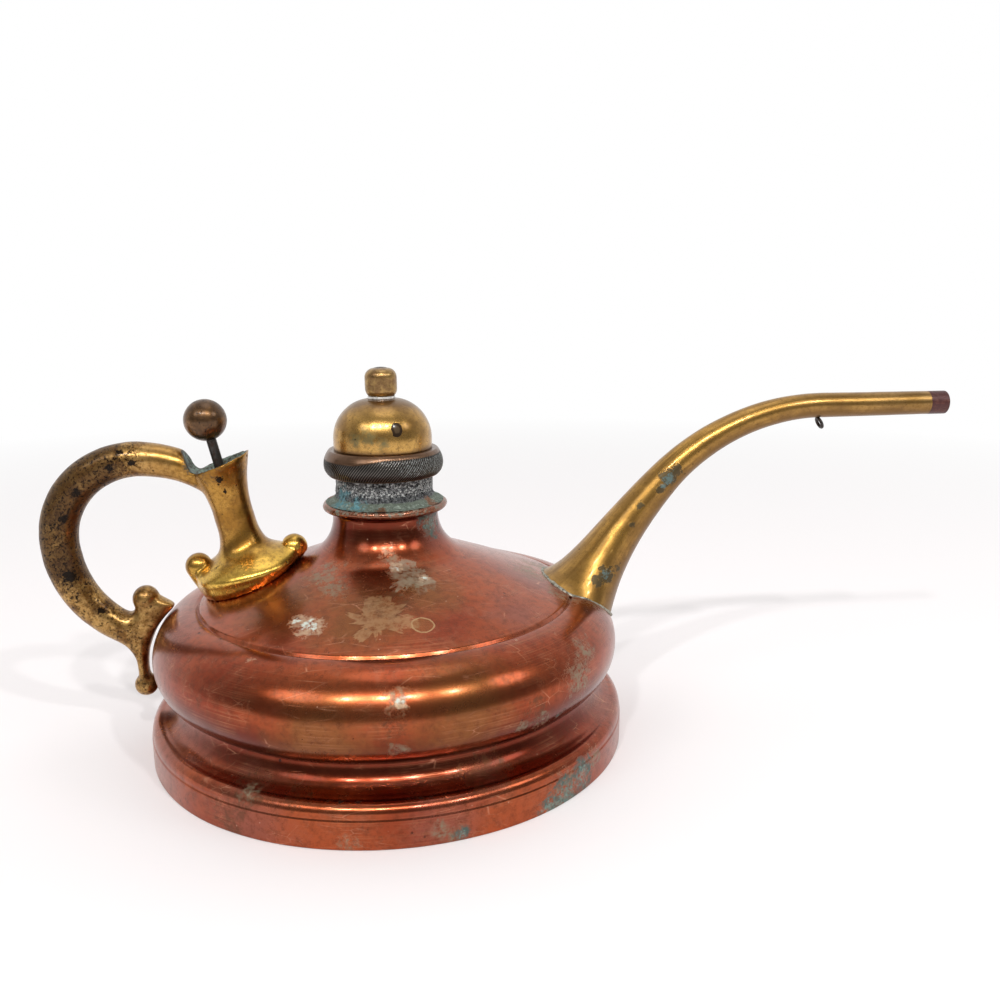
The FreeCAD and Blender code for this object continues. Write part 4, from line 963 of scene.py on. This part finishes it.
lacquer_wear = mask(patches, 1.4, 0.50, 0.66, 5.0, 0.7)

# Old lacquer on copper is a soft dark red with a low waxy shine.
maroon = finish("maroon_lacquered_copper", [
    (None, "#4b2624", 0.42, 0.25),
    (lacquer_wear, "#653a31", 0.50, 0.4),
], [(lacquer_wear, 0.03)])
ferrule_end = ferrule_spigot + ferrule_length
ferrule_outline = [(ferrule_bore, 0.0), (spigot_skin, 0.0), (spigot_skin, ferrule_spigot),
                   (ferrule_radius, ferrule_spigot), (ferrule_radius, ferrule_end),
                   (ferrule_bore, ferrule_end)]
upright = turned(ferrule_outline, 0.14, 70, 72)
ferrule_grid = np.stack([ferrule_start + upright[..., 2], upright[..., 1],
                         spout_height - upright[..., 0]], -1)
ferrule = surface("tip_ferrule", ferrule_grid)
dress(ferrule, maroon, "red_ferrule", "can", "spout_ferrule")


# Grey soft solder joins the spout's root to the shoulder in an uneven run.
solder_dark = mask(patches, 1.1, 0.48, 0.62, 5.0, 0.7, cover=0.8)

# Oxidised solder is a dull pale grey with dark pores.
solder = finish("oxidised_soft_solder", [
    (None, "#a9a698", 0.46, 0.85),
    (solder_dark, "#5b5646", 0.60, 0.6),
    (nicks, "#dcd8cb", 0.50, 0.5),
], [(solder_dark, -0.10)])


def tube(path, width, around, flat=1.0, closed=True):
    """Grid of a round bar along a path of points: rings square to it, width being its radius in mm.

    Each ring stands on the path's tangent. Its axes are the tangent crossed with the Z axis, and
    that crossed with the tangent, and the second is scaled by flat."""
    tangent = np.roll(path, -1, 0) - np.roll(path, 1, 0) if closed else np.gradient(path, axis=0)
    tangent /= np.linalg.norm(tangent, axis=1, keepdims=True)
    side = np.cross(tangent, [0.0, 0.0, 1.0])
    side /= np.linalg.norm(side, axis=1, keepdims=True)
    up = np.cross(side, tangent)
    turns = np.linspace(0.0, 2.0 * math.pi, around, endpoint=False)
    width = np.broadcast_to(width, len(path))[:, None, None]
    return path[:, None] + width * (np.cos(turns)[:, None] * side[:, None]
                                    + flat * np.sin(turns)[:, None] * up[:, None])


contact_line = np.vstack([outer_skin[-1], outer_skin[-1][:1]])
corner_number = np.arange(float(len(contact_line)))
between = np.linspace(0.0, corner_number[-1], 512, endpoint=False)
solder_path = np.stack([np.interp(between, corner_number, row) for row in contact_line.T], 1)
for _ in range(6):
    solder_path = (np.roll(solder_path, 1, 0) + 2.0 * solder_path + np.roll(solder_path, -1, 0)) / 4.0
solder_width = 0.55 + 0.22 * lumps(solder_path, 4.0, 20) + 0.12 * lumps(solder_path, 1.4, 21)
solder_grid = tube(solder_path, solder_width, 14, 0.8)
press(solder_grid, 0.10 * lumps(solder_grid, 0.8, 22))
solder_run = surface("solder_run", solder_grid, sharp=70.0)
dress(solder_run, solder, "grey_metal", "can")


# A wire eyelet under the spout once held the cap's chain. It is dark steel and leans to the tip.
eyelet_middle = (114.11, 0.0, 77.47)
eyelet_radius, eyelet_wire, eyelet_lean = 1.35, 0.4, 25.0
shank_length = 1.33

rust = mask(patches, 0.8, 0.46, 0.62, 5.0, 0.7)

# Drawn steel wire gone nearly black, with a little brown rust.
dark_steel = finish("blackened_steel_wire", [
    (None, "#4a4745", 0.38, 1.0),
    (rust, "#3a2a20", 0.60, 0.6),
], [(rust, 0.02)])
eye_turns = np.linspace(0.0, 2.0 * math.pi, 48, endpoint=False)
wire_turns = np.linspace(0.0, 2.0 * math.pi, 16, endpoint=False)
reach = eyelet_radius + eyelet_wire * np.cos(wire_turns)[None, :]
eye_grid = np.stack([eyelet_wire * np.sin(wire_turns)[None, :] + 0.0 * eye_turns[:, None],
                     reach * np.sin(eye_turns)[:, None], reach * np.cos(eye_turns)[:, None]], -1)
shank_end = eyelet_radius + shank_length
shank_outline = np.array([(0.0, eyelet_radius), (eyelet_wire, eyelet_radius), (eyelet_wire, shank_end),
                          (0.0, shank_end)])
lean_angle = math.radians(eyelet_lean)
lean_turn = np.array([[math.cos(lean_angle), 0.0, -math.sin(lean_angle)], [0.0, 1.0, 0.0],
                      [math.sin(lean_angle), 0.0, math.cos(lean_angle)]])
eye = surface("eyelet_eye", eye_grid @ lean_turn.T + eyelet_middle)
shank = surface("eyelet_shank", spin(shank_outline, 16) @ lean_turn.T + eyelet_middle, closed=False)
dress(eye, dark_steel, "steel_wire", "can", "chain_eyelet")
dress(shank, dark_steel, "steel_wire", "can")


# The handle is one brass casting: a loop for two fingers, a heel on the belly, and a hollow post on a
# saddle foot with two ears. Its joins are softened as in a sand mould, and it is pitted with age.
post_foot_x, post_foot_z, post_tilt = -33.8, 42.16, 12.5
cast_step, cast_softness, cast_swell = 0.38, 80, 0.32
seat_depth, heel_start = 1.6, -50.0
rim_softness, knob_hardness = 60, 5.0
foot_bulge, foot_edge = 1.5, 12.75
cast_knobs = [
    ((-24.0, 0.0, 44.3), (-23.1, 0.0, 49.5), 3.0), ((-43.6, 0.0, 40.0), (-46.8, 0.0, 45.5), 3.0),
    ((-60.2, 0.0, 37.6), (-60.2, 0.0, 37.7), 2.95), ((-62.0, 0.0, 14.8), (-62.0, 0.0, 14.9), 2.5),
]
heel_tip, heel_middle = (-53.2, 35.6), (-52.0, 30.0)
heel_reach, mouth_reach, rim_reach, foot_reach = (5.0, 4.0), (20.0, -4.0), (9.0, -3.0), (11.0, -8.0)
loop_side, worst_side, worst_low = (-44.0, -14.0), (-56.0, -10.0), (34.0, 12.0)
mouth_low, mouth_out = (24.6, 1.0), (7.9, -0.8)
rough_casting = bpy.data.objects.new("rough_casting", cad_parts["handle"].data.copy())
bpy.context.collection.objects.link(rough_casting)
merge = bmesh.new()
merge.from_mesh(rough_casting.data)
bmesh.ops.remove_doubles(merge, verts=merge.verts, dist=1e-6)
merge.to_mesh(rough_casting.data)
merge.free()
melt = rough_casting.modifiers.new("melt", "REMESH")
melt.mode, melt.voxel_size = "VOXEL", cast_step * mm
settled = bpy.context.evaluated_depsgraph_get()
cast_mesh = bpy.data.meshes.new_from_object(rough_casting.evaluated_get(settled))
bpy.data.objects.remove(rough_casting)
cast_mesh.name = "cast_handle"
cast_handle = bpy.data.objects.new("cast_handle", cast_mesh)
bpy.context.collection.objects.link(cast_handle)

tilt = math.radians(post_tilt)
post_up = np.array([-math.sin(tilt), 0.0, math.cos(tilt)])
post_foot = np.array([post_foot_x, 0.0, post_foot_z])
cast_points = gather(cast_mesh.vertices, "co").astype(float) / mm
cast_edges = gather(cast_mesh.edges, "vertices", 2, np.int32)


def soften(points, edges, amount, times):
    """Moves points towards the mean of their neighbours, by half of an amount each, some times over."""
    start, end = np.r_[edges[:, 0], edges[:, 1]], np.r_[edges[:, 1], edges[:, 0]]
    count = np.maximum(np.bincount(start, minlength=len(points)), 1)
    for _ in range(times):
        mean = np.stack([np.bincount(start, points[end, axis], len(points)) for axis in range(3)], 1)
        points = points + 0.5 * amount[:, None] * (mean / count[:, None] - points)
    return points


def from_post(points):
    """Height of points up the post from its foot, and their distance from its axis, in mm."""
    offset = points - post_foot
    up = offset @ post_up
    return up, np.linalg.norm(offset - up[:, None] * post_up, axis=1)


height_up, from_axis = from_post(cast_points)
seat = np.where(cast_points[:, 0] < heel_start, 1.0, ramp(above_shoulder(cast_points), 0.0, seat_depth))
heel_away = np.hypot(cast_points[:, 0] - heel_middle[0], cast_points[:, 2] - heel_middle[1])
heel_seat = np.maximum(ramp(heel_away, *heel_reach), 0.35)
mouth = np.maximum(ramp(height_up, *mouth_reach), 0.25)
softness = np.minimum(np.minimum(seat, mouth), heel_seat)
cast_points = soften(cast_points, cast_edges, softness, cast_softness)
rim_share = seat * ramp(height_up, *rim_reach) * (cast_points[:, 0] > heel_start)
cast_points = soften(cast_points, cast_edges, rim_share, rim_softness)
radial = cast_points - post_foot - height_up[:, None] * post_up
from_middle = np.maximum(np.linalg.norm(radial, axis=1), 1.0)
filled = from_middle + foot_bulge * np.exp(-((height_up - 5.2) / 2.6) ** 2) * rim_share
filled = np.minimum(filled, np.maximum(from_middle, foot_edge))
cast_points += radial * (filled / from_middle - 1.0)[:, None]
for root, crest, radius in cast_knobs:
    stem = np.array(crest) - np.array(root)
    along = np.clip((cast_points - np.array(root)) @ stem / (stem @ stem), 0.0, 1.0)
    offset = cast_points - np.array(root) - along[:, None] * stem
    away = np.maximum(np.linalg.norm(offset, axis=1), 1e-6)
    pushed = np.logaddexp(knob_hardness * away, knob_hardness * radius) / knob_hardness
    swell = np.where(away < radius + 1.2, pushed / away - 1.0, 0.0) * seat
    cast_points += offset * swell[:, None]
tip_away = np.hypot(cast_points[:, 0] - heel_tip[0], cast_points[:, 2] - heel_tip[1])
cast_points[:, 1] *= 0.45 + 0.55 * np.clip(tip_away / 6.5, 0.0, 1.0) ** 0.7
cast_points = soften(cast_points, cast_edges, 0.6 * softness, 6)
cast_mesh.vertices.foreach_set("co", (cast_points * mm).astype(np.float32).ravel())
cast_mesh.update()
cast_normals = gather(cast_mesh.vertices, "normal")
loop_share = ramp(cast_points[:, 0], *loop_side)
worst = ramp(cast_points[:, 0], *worst_side) * np.maximum(ramp(cast_points[:, 2], *worst_low), 0.25)
uneven = 0.06 * lumps(cast_points, 5.0, 32) + 0.03 * lumps(cast_points, 2.0, 33)
cast_points += cast_normals * (uneven + cast_swell * softness)[:, None]
cast_mesh.vertices.foreach_set("co", (cast_points * mm).astype(np.float32).ravel())
cast_mesh.update()
cast_mesh.shade_smooth()
height_up, from_axis = from_post(cast_points)
in_mouth = ramp(height_up, *mouth_low) * ramp(from_axis, *mouth_out)
radial = cast_points - post_foot - height_up[:, None] * post_up
facing_in = np.einsum("ij,ij->i", cast_normals, radial) < 0.0
cast_layers = {
    "foot": ramp(height_up, *foot_reach) * (1.0 - loop_share), "loop": loop_share, "worst": worst,
    "mouth": in_mouth * np.where(facing_in, 1.0, 0.35),
}
for layer, values in cast_layers.items():
    store(cast_mesh, layer, values)

loop_brown = mask(stains, "loop", 7.0, 0.30, 0.95, 1.3)
# Bright gold over the saddle foot: rubbed brass and a painted highlight.
foot_gold_and_highlight = mask(stains, "foot", 6.0, 0.20, 0.80, 1.0, 0.9)
loop_dark = mask(stains, "loop", 3.2, 0.86, 1.20, 2.2, 0.85)
loop_smoke = mask(stains, "worst", 2.6, 0.45, 0.90, 1.8, 0.8)


def pit_dark(tree, place):
    """Mask of ragged pits in clusters, most of them on the outer side of the loop."""
    ragged = patches(tree, place, 0.75, 0.54, 0.58, 8.0, 0.72, 0.6)
    cluster = stains(tree, place, "worst", 5.0, 0.15, 0.50, 2.2)
    return add(tree, "Math", {0: ragged, 1: cluster}, operation="MULTIPLY")


loop_dirt = mask(stains, "loop", 0.7, 1.14, 1.30, 2.8, 0.8)
post_dirt = mask(patches, 2.6, 0.48, 0.66, 8.0, 0.80, cover=0.75)
deep_pits = mask(stains, "pit", 0.8, 0.30, 0.42, 2.0, 0.95)
pit_smoke = mask(stains, "smoke", 1.8, 0.34, 0.80, 2.2, 0.85, 1.2)
end_crust = mask(stains, "crusted", 1.6, 0.30, 0.46, 1.2, 0.9, 0.8)
mouth_crust = mask(stains, "mouth", 1.6, 0.35, 0.60, 0.8, 0.95)
mouth_teal = mask(stains, "mouth", 0.9, 0.85, 1.10, 1.6, 0.9)
cast_specks = mask(pits, 1.9, 0.42, 0.26)
rubbed = mask(patches, 7.0, 0.50, 0.66, 3.0, 0.5)

# Sand-cast brass is golden where it is rubbed, brown on the loop, and its pits are filled with black;
# the saddle foot is painted bright gold, partly as a painted highlight.
cast_brass = finish("pitted_cast_brass", [
    (None, "#a0722f", 0.28, 1.0),
    (rubbed, "#b88a40", 0.26, 1.0),
    (foot_gold_and_highlight, "#f4c65a", 0.25, 1.0),
    (loop_brown, "#bd9559", 0.30, 1.0),
    (loop_dark, "#795228", 0.36, 1.0),
    (brass_grain, "#70501f", 0.40, 1.0),
    (post_dirt, "#6f4c22", 0.38, 1.0),
    (loop_smoke, "#5c4227", 0.42, 1.0),
    (loop_dirt, "#38270f", 0.46, 1.0),
    (pit_smoke, "#4a3423", 0.46, 1.0),
    (cast_specks, "#2a1c0d", 0.50, 0.95),
    (pit_dark, "#21160d", 0.60, 0.95),
    (deep_pits, "#1a120b", 0.62, 0.95),
    (end_crust, "#4d4e45", 0.66, 0.4),
    (mouth_crust, "#3d3e36", 0.66, 0.5),
    (mouth_teal, "#7d8f84", 0.80, 0.0),
], [(brass_grain, -0.012), (loop_dirt, -0.03), (cast_specks, -0.06), (pit_dark, -0.12),
    (deep_pits, -0.3), (end_crust, 0.10), (mouth_crust, 0.05)], 0.18)
soak(cast_handle, "pit", [
    (-73.1, -4, 66, 1.5), (-76.5, -4, 59.6, 1.7), (-79, -3.6, 58.2, 1.5), (-76.8, -4, 45.2, 2.4),
    (-73.7, -4, 46.1, 1.2), (-70, -4, 36.2, 1.5), (-65, -4, 71.6, 1.3), (-62.4, -3.6, 75.6, 1.2),
    (-59.6, -4, 72.9, 1.3), (-80.1, -3.4, 50.7, 1.2), (-39.3, -6.2, 68.5, 1.2), (-38.2, -6, 65.3, 1.2),
    (-35.6, -5.6, 64.2, 1), (-35, -5.2, 60, 1.2), (-30.8, -9, 46.9, 1), (-34.3, -10, 45, 1),
    (-41.3, -7.6, 47.7, 1.3), (-78, 3.6, 56, 1.8), (-70, 4, 70, 1.5), (-72, 4, 40, 2),
])
soak(cast_handle, "smoke", [
    (-77, -3, 61, 8), (-78, -3, 47, 7.5), (-72.5, -3.5, 66, 5), (-64, -4, 71.5, 5),
    (-70, -3.5, 37, 4.5), (-76, 3, 55, 11),
])
soak(cast_handle, "crusted", [(-45.4, -3.2, 72.6, 4.6), (-45, 3.2, 72.6, 4)])
dress(cast_handle, cast_brass, "cast_brass", "can", "handle")


# The thumb ball is dark bronze, rubbed brown on top, and soldered on the rod.
ball_up, ball_radius = 40.9, 5.1

ball_rub = mask(patches, 4.5, 0.46, 0.62, 5.0, 0.62)
ball_scars = mask(patches, 1.3, 0.58, 0.70, 4.0, 0.6, 1.0)

# Handled bronze is dark brown with a tan glow where the thumb polishes it.
thumb_bronze = finish("thumb_worn_bronze", [
    (None, "#5f4630", 0.34, 1.0),
    (ball_rub, "#8a6540", 0.30, 1.0),
    (brass_grain, "#45311f", 0.42, 1.0),
    (ball_scars, "#241a12", 0.50, 0.9),
], [(ball_rub, 0.02), (ball_scars, -0.05)], 0.30)
ball_middle = post_foot + ball_up * post_up
ball_outline = bow((0.0, -ball_radius), (ball_radius, 0.0), level=0.0, count=40)
ball_outline += bow((ball_radius, 0.0), (0.0, ball_radius), level=0.0, count=40)
ball_grid = spin(np.array(ball_outline), 120)
ball_grid *= (1.0 + 0.006 * lumps(ball_grid, 3.0, 40) + 0.003 * lumps(ball_grid, 1.2, 41))[..., None]
ball = surface("thumb_knob", ball_grid + ball_middle, closed=False)
dress(ball, thumb_bronze, "dark_bronze", "plunger", "thumb_ball")


# The valve spring is hard steel wire, wound open, from the seat's head up to the stop on the rod.
spring_foot, spring_top, spring_turns = 1.55, 13.35, 8.0
spring_middle, spring_wire = 2.35, 0.33
wind = np.linspace(0.0, 1.0, 480)
coil = np.stack([spring_middle * np.cos(2.0 * math.pi * spring_turns * wind),
                 spring_middle * np.sin(2.0 * math.pi * spring_turns * wind),
                 spring_foot + spring_wire + (spring_top - spring_foot - 2.0 * spring_wire) * wind], 1)
post_side = np.array([math.cos(tilt), 0.0, math.sin(tilt)])
post_turn = np.stack([post_side, [0.0, 1.0, 0.0], post_up], 1)
coil_grid = tube(coil, spring_wire, 10, closed=False)
coil_ends = [coil_grid[:1].mean(1, keepdims=True) + 0.0 * coil_grid[:1],
             coil_grid[-1:].mean(1, keepdims=True) + 0.0 * coil_grid[-1:]]
coil_grid = np.concatenate([coil_ends[0], coil_grid, coil_ends[1]]) @ post_turn.T + post_foot
spring = surface("coil_spring", coil_grid, closed=False)
dress(spring, dark_steel, "steel_wire", "can", "valve_spring")
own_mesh(spring)


# Rod, bush, seat, stop, pin, nuts and washers are plain turned pieces, so their solids stay as they
# are: drawn steel for rod and pin, turned brass for the rest, oiled leather for the two washers.
turned_lines = mask(patches, 0.7, 0.45, 0.65, 3.0, 0.6)
leather_grain = mask(patches, 0.9, 0.42, 0.62, 5.0, 0.7)

# Brass inside the can is kept from hands, and stays yellower than outside, with fine tool marks.
inner_brass = finish("turned_inner_brass", [
    (None, "#b8924c", 0.34, 1.0),
    (turned_lines, "#94733a", 0.42, 1.0),
], [(turned_lines, -0.01)])
# Oiled leather is dark brown and matt, with a fine pebbled grain.
oiled_leather = finish("oiled_leather", [
    (None, "#5a3b26", 0.62, 0.0),
    (leather_grain, "#3f2817", 0.74, 0.0),
], [(leather_grain, 0.06)])
kept_solids = [
    (dark_steel, ["push_rod", "stop_pin"]),
    (inner_brass, ["guide_bush", "valve_seat", "rod_stop", "valve_disc", "valve_nut", "finial_nut"]),
    (oiled_leather, ["valve_leather", "cap_gasket"]),
]
for material, labels in kept_solids:
    for label in labels:
        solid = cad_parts[label]
        solid.data.materials.clear()
        solid.data.materials.append(material)
